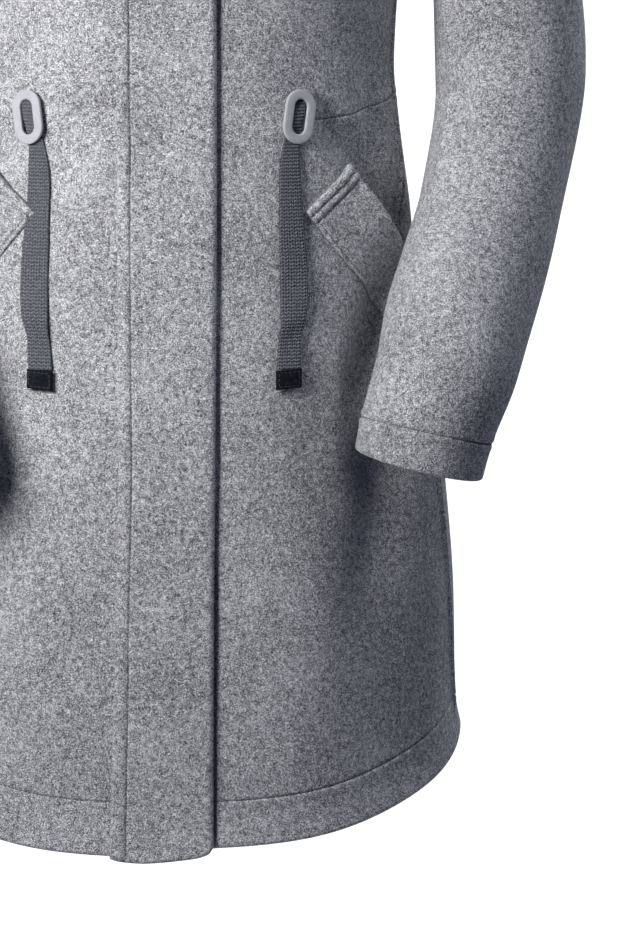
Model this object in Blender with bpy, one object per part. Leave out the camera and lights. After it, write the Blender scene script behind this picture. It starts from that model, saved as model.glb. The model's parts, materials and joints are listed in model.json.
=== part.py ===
"""A hooded felt parka in its worn shape, hollow and with nobody in it.

Metres, +Z up. The front faces -Y and the wearer's left is +X. The origin is the middle of
the neck opening, level with the side neck points, where the wearer's shoulders hold the coat.
"""
from collections import namedtuple

import bmesh
import bpy
import numpy as np

for old in list(bpy.data.objects):
    bpy.data.objects.remove(old, do_unlink=True)

# Cloth
FELT = 0.0026                 # one layer of wool felt
SEAM_GAP = 0.0003             # space between two pieces at a seam
QUARTER = np.pi / 2

# Hem
HEM_FRONT = -0.9425           # height of the hem at centre front and centre back
HEM_RISE = 0.0602             # how much higher the hem is at the side seams
HEM_DEPTH = 0.032             # turned-up hem, where the felt is double
HEM_KICK = 0.0045             # how far the hem edge flips outwards
HEM_KICK_HEIGHT = 0.034
HEM_CURVE = 1.6               # how late the hem starts to rise towards the side seam
HEM_SIDE_ROUND = 0.06         # rounds the hem's highest point at the side seam
RIGHT_DROP = 0.005            # the right front hangs this much lower

# Neck and armholes
NECK_SIDE = 0.078
NECK_FRONT = 0.094
NECK_BACK = 0.070
UNDERARM = -0.220
SHOULDER_TIP = -0.045
ARMHOLE_FRONT = 0.060
ARMHOLE_BACK = 0.064
ARMHOLE_GAP = 0.0006

# Side seam, forward of the body's side below the armhole: degrees from centre front at a few heights
SeamPlace = namedtuple("SeamPlace", "height angle")
SIDE_SEAM = (
    SeamPlace(-0.910, 84),
    SeamPlace(-0.730, 78),
    SeamPlace(-0.450, 80),
    SeamPlace(UNDERARM, 90),
)

# Body, one row for each level section from below the hem to above the side neck point
Section = namedtuple("Section", "height half_width front back squareness")
BODY = (
    Section(-0.960, 0.2130, 0.1540, 0.151, 2.10),
    Section(-0.860, 0.2110, 0.1490, 0.146, 2.10),
    Section(-0.790, 0.2098, 0.1450, 0.141, 2.10),
    Section(-0.710, 0.2040, 0.1400, 0.135, 2.10),
    Section(-0.600, 0.1895, 0.1330, 0.127, 2.10),
    Section(-0.500, 0.1770, 0.1260, 0.117, 2.12),
    Section(-0.435, 0.1683, 0.1205, 0.108, 2.15),
    Section(-0.390, 0.1635, 0.1180, 0.103, 2.15),
    Section(-0.320, 0.1665, 0.1230, 0.102, 2.20),
    Section(-0.250, 0.1760, 0.1330, 0.106, 2.25),
    Section(-0.200, 0.1830, 0.1320, 0.110, 2.30),
    Section(-0.150, 0.1880, 0.1240, 0.112, 2.35),
    Section(-0.100, 0.1930, 0.1080, 0.107, 2.40),
    Section(-0.060, 0.1960, 0.0920, 0.096, 2.40),
    Section(-0.045, 0.1950, 0.0840, 0.089, 2.40),
    Section(-0.030, 0.1600, 0.0780, 0.079, 2.30),
    Section(-0.015, 0.1220, 0.0720, 0.069, 2.20),
    Section(0.000, 0.0850, 0.0660, 0.061, 2.10),
    Section(0.012, 0.0580, 0.0580, 0.052, 2.10),
)

# Shallow hollows and folds of the body cloth, the same on both sides of the coat
Fold = namedtuple("Fold", "angle height angle_spread height_spread rise")
FOLDS = (
    Fold(54, -0.450, 11, 0.034, -0.0026),     # drawn in beside the cord
    Fold(36, -0.800, 9, 0.160, 0.0030),       # skirt flute
    Fold(58, -0.760, 9, 0.170, -0.0026),      # hollow between the flutes
    Fold(124, -0.790, 11, 0.170, 0.0034),     # back flutes
    Fold(158, -0.760, 10, 0.180, -0.0030),
)

# Left sleeve, one row for each ring from the armhole to the cuff end
SleeveRing = namedtuple("SleeveRing", "inner_x inner_z outer_x outer_z middle_y half_depth")
SLEEVE = (
    SleeveRing(0.1815, -0.2200, 0.1985, -0.0450, 0.002, 0.0620),
    SleeveRing(0.1860, -0.2320, 0.2220, -0.0520, 0.001, 0.0635),
    SleeveRing(0.1875, -0.2400, 0.2460, -0.0750, 0.000, 0.0635),
    SleeveRing(0.1885, -0.2520, 0.2640, -0.1180, -0.001, 0.0625),
    SleeveRing(0.1900, -0.2720, 0.2770, -0.1780, -0.003, 0.0610),
    SleeveRing(0.1915, -0.3050, 0.2890, -0.2500, -0.006, 0.0590),
    SleeveRing(0.1930, -0.3550, 0.2990, -0.3250, -0.011, 0.0560),
    SleeveRing(0.1935, -0.4100, 0.3030, -0.4010, -0.024, 0.0530),
    SleeveRing(0.1785, -0.4820, 0.2835, -0.5010, -0.060, 0.0510),
    SleeveRing(0.1650, -0.5250, 0.2667, -0.5520, -0.090, 0.0490),
    SleeveRing(0.1532, -0.5570, 0.2537, -0.5860, -0.115, 0.0475),
    SleeveRing(0.1455, -0.5920, 0.2415, -0.6200, -0.133, 0.0455),
    SleeveRing(0.1330, -0.6370, 0.2265, -0.6540, -0.143, 0.0435),
    SleeveRing(0.1290, -0.6590, 0.2190, -0.6810, -0.143, 0.0425),
)
CUFF_ROW = len(SLEEVE) - 2    # the turned-up cuff hem starts at this ring
SEAM_ROWS = (0, 7, 10, 13)    # sleeve rings at which the front seam is placed
SEAM_TURNS = (40, 33, 43, 53)  # degrees from the inner side of the arm
BACK_SEAM = -120
SLEEVE_RADIUS = 0.05          # about, for the seam gap as a turn

# Hood lying back: control points of its profile (distance from the neck axis, height) at a
# few turns from centre front, in degrees
HoodRow = namedtuple("HoodRow", "turn stand_r stand_z roll_r roll_z fall_r fall_z"
                                " base_r base_z swell_r swell_z rim_r rim_z")
HOOD = (
    HoodRow(0, 0.099, -0.045, 0.104, -0.022, 0.108, -0.008, 0.112, -0.004, 0.117, -0.002, 0.122, -0.001),
    HoodRow(45, 0.090, 0.012, 0.104, 0.050, 0.118, 0.046, 0.130, 0.012, 0.148, 0.008, 0.150, 0.035),
    HoodRow(90, 0.084, 0.050, 0.106, 0.082, 0.120, 0.030, 0.138, -0.028, 0.170, 0.010, 0.156, 0.055),
    HoodRow(112, 0.082, 0.048, 0.107, 0.081, 0.128, 0.012, 0.158, -0.046, 0.200, -0.016, 0.172, 0.044),
    HoodRow(135, 0.080, 0.045, 0.108, 0.078, 0.132, -0.030, 0.160, -0.185, 0.222, -0.070, 0.184, 0.022),
    HoodRow(180, 0.074, 0.042, 0.102, 0.075, 0.113, -0.120, 0.138, -0.330, 0.214, -0.120, 0.160, 0.012),
)

# Placket, in distance from centre front towards the wearer's left
PLACKET_THICK = 0.0048
PLACKET_LIFT = 0.0020         # the free edge stands off the coat
PLACKET_ACROSS = (-0.037, -0.033, -0.028, -0.018, 0.002, 0.018, 0.028, 0.032)
PLACKET_RELIEF = (-0.0006, 0.0007, -0.0010, 0.0, 0.0, 0.0, 0.0, -0.0008)
PLACKET_BOTTOM = (-0.9495, -0.9510, -0.9518, -0.9525, -0.9510, -0.9495, -0.9470, -0.9420)
PLACKET_TAPER = 0.0017        # the free edge is this much closer to the middle at the bottom
PLACKET_LAP = 0.032           # from centre front to the free edge
PLACKET_SEWN = -0.005         # up to here from centre front it lies flat on the coat
PLACKET_TOP = 0.002           # it ends this far below the neck seam
FRONT_ARC = 0.24              # along the cloth from centre front to the side seam, about

# Slanted welt pocket, by its lower inner corner on the front
WELT_ACROSS = 0.102
WELT_HEIGHT = -0.496
WELT_SLANT = 48               # degrees the long edges fall towards the side seam
WELT_LONG = 0.125
WELT_WIDE = 0.0445
WELT_BULGE = 0.0100           # the open edge bows out this far
WELT_BOW = 0.115              # length of that bow from the short end
WELT_END = 0.0115             # stitched-down strip at the short end
WELT_GROOVE = 0.0145          # the groove behind that strip ends here
WELT_RIDGE = (0.0004, 0.0010, -0.0003, 0.0)  # relief at the end, strip middle, groove and beyond
WELT_SEAM_THICK = 0.0010
WELT_OPEN_THICK = 0.0042

# Waist drawcord: flat webbing, oval keeper and end tab
CORD_THICK = 0.0018
CordRow = namedtuple("CordRow", "across height lift width")
CORD = (
    CordRow(0.0930, -0.4160, 0.0003, 0.0115),
    CordRow(0.0900, -0.4340, 0.0003, 0.0115),
    CordRow(0.0866, -0.4480, 0.0005, 0.0120),
    CordRow(0.0853, -0.4650, 0.0034, 0.0150),
    CordRow(0.0860, -0.5010, 0.0046, 0.0170),
    CordRow(0.0876, -0.5370, 0.0044, 0.0178),
    CordRow(0.0865, -0.5640, 0.0050, 0.0172),
    CordRow(0.0843, -0.5830, 0.0062, 0.0170),
    CordRow(0.0827, -0.6040, 0.0058, 0.0166),
)
RIGHT_CORD_SHIFT = 0.010      # the right drawcord is this much farther from centre front
KEEPER_ACROSS = 0.0918
KEEPER_HEIGHT = -0.4270
KEEPER_LONG = 0.0390
KEEPER_WIDE = 0.0245
KEEPER_BAND = 0.0070
KEEPER_THICK = 0.0030
KEEPER_LEAN = 8               # degrees its top leans away from centre front
KEEPER_LIFT = 0.0029
TAB_WIDE = 0.0172
TAB_LONG = 0.0135
TAB_THICK = 0.0034

# Mesh rows and columns
LOWER_SHARES = (0, 0.10, 0.20, 0.30, 0.40, 0.47, 0.53, 0.58, 0.62, 0.66, 0.70, 0.74, 0.79, 0.86, 0.93, 1)
ARMHOLE_ROWS = 9
SHOULDER_ROWS = 3
FRONT_COLUMNS = 9
BACK_COLUMNS = 18
SLEEVE_COLUMNS = 10
UNDER_COLUMNS = 8
HOOD_ROWS = 16
HOOD_COLUMNS = 18


def column(table, name):
    """One named column of a table as an array."""
    return np.array([getattr(row, name) for row in table], float)


def smooth(at, knots, values):
    """Cubic through the knots that never overshoots them and holds its end values outside."""
    knots = np.asarray(knots, float)
    values = np.asarray(values, float)
    at = np.clip(np.asarray(at, float), knots[0], knots[-1])
    step = np.diff(knots)
    slope = np.diff(values) / step
    tangent = np.concatenate([slope[:1], np.zeros(len(slope) - 1), slope[-1:]])
    product = slope[:-1] * slope[1:]
    total = np.where(product > 0, slope[:-1] + slope[1:], 1.0)
    tangent[1:-1] = np.where(product > 0, 2 * product / total, 0.0)
    i = np.clip(np.searchsorted(knots, at, side="right") - 1, 0, len(step) - 1)
    t = (at - knots[i]) / step[i]
    start = values[i] * (1 + 2 * t) + tangent[i] * step[i] * t
    end = values[i + 1] * (3 - 2 * t) + tangent[i + 1] * step[i] * (t - 1)
    return start * (1 - t) ** 2 + end * t ** 2


def ease(value):
    """Smooth step from 0 to 1."""
    value = np.clip(value, 0.0, 1.0)
    return value * value * (3 - 2 * value)


def body_size(height, name):
    """A body section size at a height."""
    return smooth(height, column(BODY, "height"), column(BODY, name))


def depth_towards(angle, height):
    """Front or back depth of the section, whichever the angle points at."""
    return np.where(np.cos(angle) > 0, body_size(height, "front"), body_size(height, "back"))


def hem_height(angle):
    """Curved hem: lowest at centre front and back, highest at the side seams."""
    lean = np.hypot(np.cos(angle), HEM_SIDE_ROUND * np.sin(angle))
    return HEM_FRONT + HEM_RISE * np.maximum(1 - lean, 0.0) ** HEM_CURVE


def relief(angle, height):
    """Outward shift of the body cloth from the hem's flip and the folds."""
    above = np.clip(1 - (height - hem_height(angle)) / HEM_KICK_HEIGHT, 0.0, 1.3)
    shift = HEM_KICK * above ** 2
    turn = np.degrees(np.arccos(np.clip(np.cos(angle), -1.0, 1.0)))
    for fold in FOLDS:
        across = (turn - fold.angle) / fold.angle_spread
        along = (height - fold.height) / fold.height_spread
        shift = shift + fold.rise * np.exp(-0.5 * (across ** 2 + along ** 2))
    return shift


def body_point(angle, height):
    """Outer face of the body: a superellipse section at the height, met at the angle."""
    angle, height = np.broadcast_arrays(np.asarray(angle, float), np.asarray(height, float))
    power = body_size(height, "squareness")
    across = np.abs(np.sin(angle)) / body_size(height, "half_width")
    along = np.abs(np.cos(angle)) / depth_towards(angle, height)
    radius = (across ** power + along ** power) ** (-1 / power) + relief(angle, height)
    return np.stack([radius * np.sin(angle), -radius * np.cos(angle), height], axis=-1)


def unit(vector):
    """Vectors scaled to length one."""
    return vector / np.linalg.norm(vector, axis=-1, keepdims=True)


def body_normal(angle, height):
    """Outward normal of the body's outer face."""
    around = body_point(angle + 1e-3, height) - body_point(angle - 1e-3, height)
    upward = body_point(angle, height + 2e-4) - body_point(angle, height - 2e-4)
    return unit(np.cross(around, upward))


def neck_height(angle):
    """Height at which the body meets the neck oval, found by halving."""
    angle = np.asarray(angle, float)
    low = np.full(angle.shape, -0.14)
    high = np.full(angle.shape, 0.012)
    for _ in range(40):
        middle = (low + high) / 2
        x, y, _z = np.moveaxis(body_point(angle, middle), -1, 0)
        reach = np.where(y < 0, NECK_FRONT, NECK_BACK)
        outside = (x / NECK_SIDE) ** 2 + (y / reach) ** 2 > 1
        low = np.where(outside, middle, low)
        high = np.where(outside, high, middle)
    return (low + high) / 2


def side_x(height, y):
    """Half width of the body at a height and a distance to the front or back."""
    depth = np.where(y < 0, body_size(height, "front"), body_size(height, "back"))
    power = body_size(height, "squareness")
    return body_size(height, "half_width") * (1 - (np.abs(y) / depth) ** power) ** (1 / power)


def armhole_angle(height, reach):
    """Angle from centre front or back to the armhole edge; a right angle outside the armhole."""
    middle = (UNDERARM + SHOULDER_TIP) / 2
    half = (SHOULDER_TIP - UNDERARM) / 2
    y = reach * np.sqrt(np.clip(1 - ((height - middle) / half) ** 2, 0.0, 1.0))
    sign = -1 if reach == ARMHOLE_FRONT else 1
    return np.arctan2(side_x(height, sign * y), y)


def side_shift(height):
    """Angle from the body's side forward to the side seam."""
    return QUARTER - np.radians(smooth(height, column(SIDE_SEAM, "height"), column(SIDE_SEAM, "angle")))


def armhole_point(turn):
    """Edge of the left armhole; turn 0 is the underarm, pi the shoulder tip, 0 to pi the front."""
    height = (UNDERARM + SHOULDER_TIP) / 2 - (SHOULDER_TIP - UNDERARM) / 2 * np.cos(turn)
    reach = np.where(np.sin(turn) > 0, ARMHOLE_FRONT, ARMHOLE_BACK)
    y = -reach * np.sin(turn)
    return np.stack([side_x(height, y) + ARMHOLE_GAP, y, height], axis=-1)


def lay(across, height, out):
    """Point on the left front at a distance along the cloth from centre front, moved out."""
    across, height, out = np.broadcast_arrays(across, height, out)
    sweep = np.linspace(0.0, QUARTER * 1.05, 240)
    angle = np.zeros(across.shape)
    for place in np.ndindex(across.shape):
        line = body_point(sweep, height[place])
        length = np.concatenate([[0], np.cumsum(np.linalg.norm(np.diff(line, axis=0), axis=1))])
        angle[place] = np.sign(across[place]) * np.interp(abs(across[place]), length, sweep)
    return body_point(angle, height) + body_normal(angle, height) * np.asarray(out)[..., None]


def material(name, colour, roughness):
    """A plain named material."""
    made = bpy.data.materials.new(name)
    made.use_nodes = True
    shader = made.node_tree.nodes["Principled BSDF"]
    shader.inputs["Base Color"].default_value = (*colour, 1.0)
    shader.inputs["Roughness"].default_value = roughness
    made.diffuse_color = (*colour, 1.0)
    return made


FELT_GREY = material("felt", (0.30, 0.31, 0.33), 0.95)
WEBBING_GREY = material("webbing", (0.10, 0.105, 0.12), 0.8)
KEEPER_GREY = material("keeper", (0.42, 0.43, 0.45), 0.55)
TAB_BLACK = material("tab", (0.012, 0.013, 0.018), 0.6)


def add_mesh(name, points, faces, surface):
    """One named closed solid from points and faces, its faces turned outwards."""
    mesh = bpy.data.meshes.new(name)
    mesh.from_pydata([tuple(point) for point in points], [], faces)
    mesh.materials.append(surface)
    shaped = bmesh.new()
    shaped.from_mesh(mesh)
    bmesh.ops.recalc_face_normals(shaped, faces=shaped.faces)
    shaped.to_mesh(mesh)
    shaped.free()
    made = bpy.data.objects.new(name, mesh)
    bpy.context.scene.collection.objects.link(made)
    return made


def wall(name, outer, inner, surface, side=1):
    """A cloth wall: two matching grids of points joined by a rim; side -1 mirrors it."""
    rows, columns = outer.shape[:2]
    points = np.concatenate([outer.reshape(-1, 3), inner.reshape(-1, 3)]) * (side, 1, 1)
    index = np.arange(rows * columns).reshape(rows, columns)
    back = rows * columns
    faces = []
    for i in range(rows - 1):
        for j in range(columns - 1):
            quad = [index[i, j], index[i, j + 1], index[i + 1, j + 1], index[i + 1, j]]
            faces.append(quad)
            faces.append([back + corner for corner in reversed(quad)])
    rim = np.concatenate([index[0], index[1:, -1], index[-1, -2::-1], index[-2:0:-1, 0]])
    for first, second in zip(rim, np.roll(rim, -1)):
        faces.append([second, first, back + first, back + second])
    return add_mesh(name, points, [[int(corner) for corner in face] for face in faces], surface)


def panel_rows(share, edge_top, drop, hem_reach=QUARTER):
    """Heights of a body panel's grid, given each column's share of the way to its edge."""
    hem = hem_height(share * hem_reach)
    top = edge_top(share * QUARTER)
    hem_rows = [hem - drop + (HEM_DEPTH + drop) * part for part in (0.0, 0.5, 1.0)]
    start = hem + HEM_DEPTH + 0.004
    lower = [start + (UNDERARM - start) * part for part in LOWER_SHARES]
    tip = (SHOULDER_TIP - UNDERARM) / (float(edge_top(QUARTER)) - UNDERARM)
    climb = (1 - np.cos(np.linspace(0, np.pi, ARMHOLE_ROWS + 1)[1:])) / 2 * tip
    slope = np.linspace(tip, 1, SHOULDER_ROWS + 1)[1:]
    upper = [UNDERARM + (top - UNDERARM) * part for part in np.concatenate([climb, slope])]
    return np.array(hem_rows + lower + upper)


def felt_depth(heights):
    """Thickness of a panel at each grid row: double in the turned-up hem."""
    layers = np.ones(heights.shape)
    layers[:3] = 2
    return (FELT * layers)[..., None]


def front(name, side, drop):
    """One front, from centre front to the side seam, armhole and shoulder seam."""
    share = np.linspace(0, 1, FRONT_COLUMNS + 1)
    hem_reach = QUARTER - side_shift(HEM_FRONT)
    height = panel_rows(share, neck_height, drop, hem_reach)
    edge = armhole_angle(height[:, -1], ARMHOLE_FRONT) - side_shift(height[:, -1])
    edge = edge - SEAM_GAP / 2 / body_size(height[:, -1], "half_width")
    first = SEAM_GAP / 2 / body_size(height[:, 0], "front")
    angle = first[:, None] + (edge - first)[:, None] * share
    outer = body_point(angle, height)
    inner = outer - body_normal(angle, height) * felt_depth(height)
    return wall(name, outer, inner, FELT_GREY, side)


def back_panel():
    """The back, one piece from side seam to side seam."""
    share = np.linspace(-1, 1, BACK_COLUMNS + 1)
    hem_reach = QUARTER + side_shift(HEM_FRONT)
    height = panel_rows(np.abs(share), lambda turn: neck_height(np.pi - turn), 0.0, hem_reach)
    edge = armhole_angle(height[:, -1], ARMHOLE_BACK) + side_shift(height[:, -1])
    edge = edge - SEAM_GAP / 2 / body_size(height[:, -1], "half_width")
    angle = np.pi - edge[:, None] * share
    outer = body_point(angle, height)
    inner = outer - body_normal(angle, height) * felt_depth(height)
    return wall("back", outer, inner, FELT_GREY)


def sleeve_column(row, name):
    """A sleeve ring size at a place between two rows of the table."""
    return smooth(row, np.arange(len(SLEEVE)), column(SLEEVE, name))


def sleeve_ends(row):
    """Inner and outer points of a sleeve ring, on its middle plane."""
    middle = sleeve_column(row, "middle_y")
    inner = np.stack([sleeve_column(row, "inner_x"), middle, sleeve_column(row, "inner_z")], -1)
    outer = np.stack([sleeve_column(row, "outer_x"), middle, sleeve_column(row, "outer_z")], -1)
    return inner, outer


def sleeve_ring(row, turn):
    """Ellipse rings square to the arm; turn 0 is the side next to the body."""
    row, turn = np.broadcast_arrays(np.asarray(row, float), np.asarray(turn, float))
    inner, outer = sleeve_ends(row)
    before = sum(sleeve_ends(np.clip(row - 0.3, 0, len(SLEEVE) - 1))) / 2
    after = sum(sleeve_ends(np.clip(row + 0.3, 0, len(SLEEVE) - 1))) / 2
    wide = outer - inner
    forward = unit(np.cross(after - before, wide))
    depth = sleeve_column(row, "half_depth")[..., None]
    cosine = np.cos(turn)[..., None]
    sine = np.sin(turn)[..., None]
    return (inner + outer) / 2 - wide / 2 * cosine + forward * depth * sine


def sleeve_point(row, turn):
    """Outer face of the left sleeve: its rings, with the first one moved onto the armhole."""
    shift = armhole_point(turn) - sleeve_ring(np.zeros_like(turn), turn)
    return sleeve_ring(row, turn) + shift * (1 - ease(row))[..., None]


def sleeve_normal(row, turn):
    """Outward normal of the left sleeve."""
    last = len(SLEEVE) - 1
    before, after = np.clip(row - 0.02, 0, last), np.clip(row + 0.02, 0, last)
    along = sleeve_point(after, turn) - sleeve_point(before, turn)
    around = sleeve_point(row, turn + 1e-3) - sleeve_point(row, turn - 1e-3)
    return unit(np.cross(along, around))


def sleeve_piece(name, side, under):
    """Upper or under piece of a two-piece sleeve, its cuff turned up inside."""
    middle_rows = np.concatenate([np.arange(0, 5, 0.5), np.arange(5, CUFF_ROW - 0.5, 1.0)])
    rows = np.concatenate([middle_rows, [CUFF_ROW - 0.15, CUFF_ROW, CUFF_ROW + 0.5, CUFF_ROW + 1]])
    seam = np.radians(smooth(rows, SEAM_ROWS, SEAM_TURNS))
    gap = SEAM_GAP / 2 / SLEEVE_RADIUS
    if under:
        start = np.full(len(rows), np.radians(BACK_SEAM) + gap)
        end = seam - gap
        columns = UNDER_COLUMNS
    else:
        start = seam + gap
        end = np.full(len(rows), np.radians(BACK_SEAM + 360) - gap)
        columns = SLEEVE_COLUMNS
    turn = start[:, None] + (end - start)[:, None] * np.linspace(0, 1, columns + 1)
    row = np.repeat(rows[:, None], columns + 1, axis=1)
    layers = np.where(rows >= CUFF_ROW, 2, 1)[:, None, None]
    outer = sleeve_point(row, turn)
    inner = outer - sleeve_normal(row, turn) * FELT * layers
    return wall(name, outer, inner, FELT_GREY, side)


def spline_weights(at, count):
    """Weights of a clamped cubic spline's control points at places from 0 to 1."""
    inside = np.linspace(0, 1, count - 2)
    knots = np.concatenate([[0, 0, 0], inside, [1, 1, 1]])
    at = np.clip(at, 0, 1 - 1e-9)[:, None]
    weights = ((at >= knots[:-1]) & (at < knots[1:])).astype(float)
    for degree in range(1, 4):
        left_span = knots[degree:-1] - knots[:-degree - 1]
        right_span = knots[degree + 1:] - knots[1:-degree]
        left = (at - knots[:-degree - 1]) / np.where(left_span > 0, left_span, np.inf)
        right = (knots[degree + 1:] - at) / np.where(right_span > 0, right_span, np.inf)
        weights = left * weights[:, :-1] + right * weights[:, 1:]
    return weights


def hood_point(turn, along):
    """Outside of the hood: at each turn a spline from the neck seam over the roll to the rim."""
    turns = column(HOOD, "turn")
    wide = np.concatenate([-turns[1:2], turns, 360 - turns[-2:-1]])
    control = []
    seam = body_point(turn, neck_height(turn))
    control.append(np.stack([np.hypot(seam[:, 0], seam[:, 1]), seam[:, 2] + 2 * SEAM_GAP], -1))
    for name in ("stand", "roll", "fall", "base", "swell", "rim"):
        pair = []
        for part in ("_r", "_z"):
            values = column(HOOD, name + part)
            values = np.concatenate([values[1:2], values, values[-2:-1]])
            pair.append(smooth(np.degrees(turn), wide, values))
        control.append(np.stack(pair, -1))
    profile = np.einsum("ac,ctk->atk", spline_weights(along, len(control)), np.array(control))
    radius, height = profile[..., 0], profile[..., 1]
    return np.stack([radius * np.sin(turn), -radius * np.cos(turn), height], -1)


def hood_half(name, side):
    """One half of the hood, from centre front round to the seam at centre back."""
    gap = SEAM_GAP / 2
    turn = np.linspace(gap / NECK_FRONT, np.pi - gap / NECK_BACK, HOOD_COLUMNS + 1)
    along = np.linspace(0, 1, HOOD_ROWS + 1)
    outer = hood_point(turn, along)
    before = hood_point(turn, np.clip(along - 0.01, 0, 1))
    after = hood_point(turn, np.clip(along + 0.01, 0, 1))
    around = hood_point(turn + 2e-3, along) - hood_point(turn - 2e-3, along)
    normal = unit(np.cross(around, after - before))
    normal[:, [0, -1], 0] = 0
    normal[0, :, 2] = 0
    return wall(name, outer, outer - unit(normal) * FELT, FELT_GREY, side)


def placket():
    """Doubled flap over the closing: sewn on the wearer's right, lapped to the left."""
    across = np.array(PLACKET_ACROSS)
    height = panel_rows(np.abs(across) / FRONT_ARC, neck_height, 0.0)
    height[0] = PLACKET_BOTTOM
    height[-1] -= PLACKET_TOP
    across = across - PLACKET_TAPER * np.clip(across / PLACKET_LAP, 0, 1) * ease(height / HEM_FRONT)
    lift = SEAM_GAP + PLACKET_LIFT * ease((across - PLACKET_SEWN) / (PLACKET_LAP - PLACKET_SEWN))
    under = lay(across, height, lift + 0 * height)
    over = lay(across, height, lift + PLACKET_THICK + np.array(PLACKET_RELIEF) + 0 * height)
    return wall("placket", over, under, FELT_GREY)


def welt(name, side):
    """Slanted pocket welt: sewn flat along its lower edge, thicker at its open upper edge."""
    strip = [0, WELT_END / 2, WELT_END, WELT_GROOVE]
    long = np.concatenate([strip[:-1], np.linspace(WELT_GROOVE, WELT_LONG, 9)])[:, None]
    wide = np.linspace(0, 1, 5)
    slant = np.radians(WELT_SLANT)
    reach = wide * (WELT_WIDE + WELT_BULGE * np.sin(np.pi * np.clip(long / WELT_BOW, 0, 1)))
    across = WELT_ACROSS + long * np.cos(slant) + reach * np.sin(slant)
    height = WELT_HEIGHT - long * np.sin(slant) + reach * np.cos(slant)
    ridge = np.interp(long, strip, WELT_RIDGE)
    thick = WELT_SEAM_THICK + (WELT_OPEN_THICK - WELT_SEAM_THICK) * wide + ridge
    under = lay(across, height, SEAM_GAP + 0 * thick)
    over = lay(across, height, SEAM_GAP + thick)
    return wall(name, over, under, FELT_GREY, side)


def cord_line(shift):
    """Distance from centre front, height, lift and width along the webbing's middle line."""
    rows = np.arange(len(CORD))
    at = np.linspace(0, len(CORD) - 1, 17)
    across, height, lift, width = (smooth(at, rows, column(CORD, name)) for name in CordRow._fields)
    return across + shift, height, lift, width


def drawcord(name, side, shift):
    """Flat webbing from behind the keeper down to the tab, lying along the front."""
    across, height, lift, width = (place[:, None] for place in cord_line(shift))
    across = across + np.linspace(-0.5, 0.5, 4) * width
    return wall(name, lay(across, height, lift + CORD_THICK), lay(across, height, lift), WEBBING_GREY, side)


def cord_tab(name, side, shift):
    """Folded tab closing the webbing's end, its edges rounded."""
    across, height, lift, _width = (place[-1] for place in cord_line(shift))
    down = height - SEAM_GAP - np.array([0, 0.06, 0.94, 1])[:, None] * TAB_LONG
    wide = across + np.array([-0.5, -0.45, 0.45, 0.5]) * TAB_WIDE
    rounding = np.array([0.30, 0.5, 0.5, 0.30])
    thick = np.minimum(rounding[:, None], rounding) * TAB_THICK
    middle = lift + CORD_THICK / 2
    return wall(name, lay(wide, down, middle + thick), lay(wide, down, middle - thick), TAB_BLACK, side)


def keeper(name, side, shift):
    """Flat oval ring lying on the webbing: a rounded band swept round a stadium."""
    middle = lay(KEEPER_ACROSS + shift, KEEPER_HEIGHT, KEEPER_LIFT)
    outward = unit(lay(KEEPER_ACROSS + shift, KEEPER_HEIGHT, KEEPER_LIFT + 0.001) - middle)
    upward = unit(np.array([0.0, 0.0, 1.0]) - outward * outward[2])
    sideways = np.cross(upward, outward)
    lean = np.radians(KEEPER_LEAN)
    right = sideways * np.cos(lean) - upward * np.sin(lean)
    up = upward * np.cos(lean) + sideways * np.sin(lean)
    turn = np.linspace(0, 2 * np.pi, 28, endpoint=False)
    straight = (KEEPER_LONG - KEEPER_WIDE) / 2 * np.sign(np.round(np.sin(turn), 6))
    middle_radius = (KEEPER_WIDE - KEEPER_BAND) / 2
    band = np.array([-0.5, -0.32, 0.32, 0.5, 0.32, -0.32]) * KEEPER_BAND
    rise = np.array([0.5, 1.0, 1.0, 0.5, 0.0, 0.0]) * KEEPER_THICK
    radius = middle_radius + band[None, :]
    x = radius * np.cos(turn)[:, None]
    y = radius * np.sin(turn)[:, None] + straight[:, None]
    points = middle + x[..., None] * right + y[..., None] * up + rise[:, None] * outward
    points = points.reshape(-1, 3) * (side, 1, 1)
    faces = []
    for i in range(len(turn)):
        for j in range(len(band)):
            across = (j + 1) % len(band)
            after = (i + 1) % len(turn)
            ring = [(i, j), (i, across), (after, across), (after, j)]
            faces.append([a * len(band) + b for a, b in ring])
    return add_mesh(name, points, faces, KEEPER_GREY)


front("front_left", 1, 0.0)
front("front_right", -1, RIGHT_DROP)
back_panel()
placket()
for label, mirror, cord_shift in (("left", 1, 0.0), ("right", -1, RIGHT_CORD_SHIFT)):
    sleeve_piece(f"sleeve_{label}_upper", mirror, under=False)
    sleeve_piece(f"sleeve_{label}_under", mirror, under=True)
    hood_half(f"hood_{label}", mirror)
    welt(f"pocket_welt_{label}", mirror)
    drawcord(f"drawcord_{label}", mirror, cord_shift)
    keeper(f"cord_keeper_{label}", mirror, cord_shift)
    cord_tab(f"cord_tab_{label}", mirror, cord_shift)
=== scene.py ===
"""Looks of a hooded felt parka: heathered felt panels, sewing, webbing, keepers, tabs and stage.

Metres, +Z up. The front faces -Y and the wearer's left is +X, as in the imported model.
"""

import json
from collections import namedtuple

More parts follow.
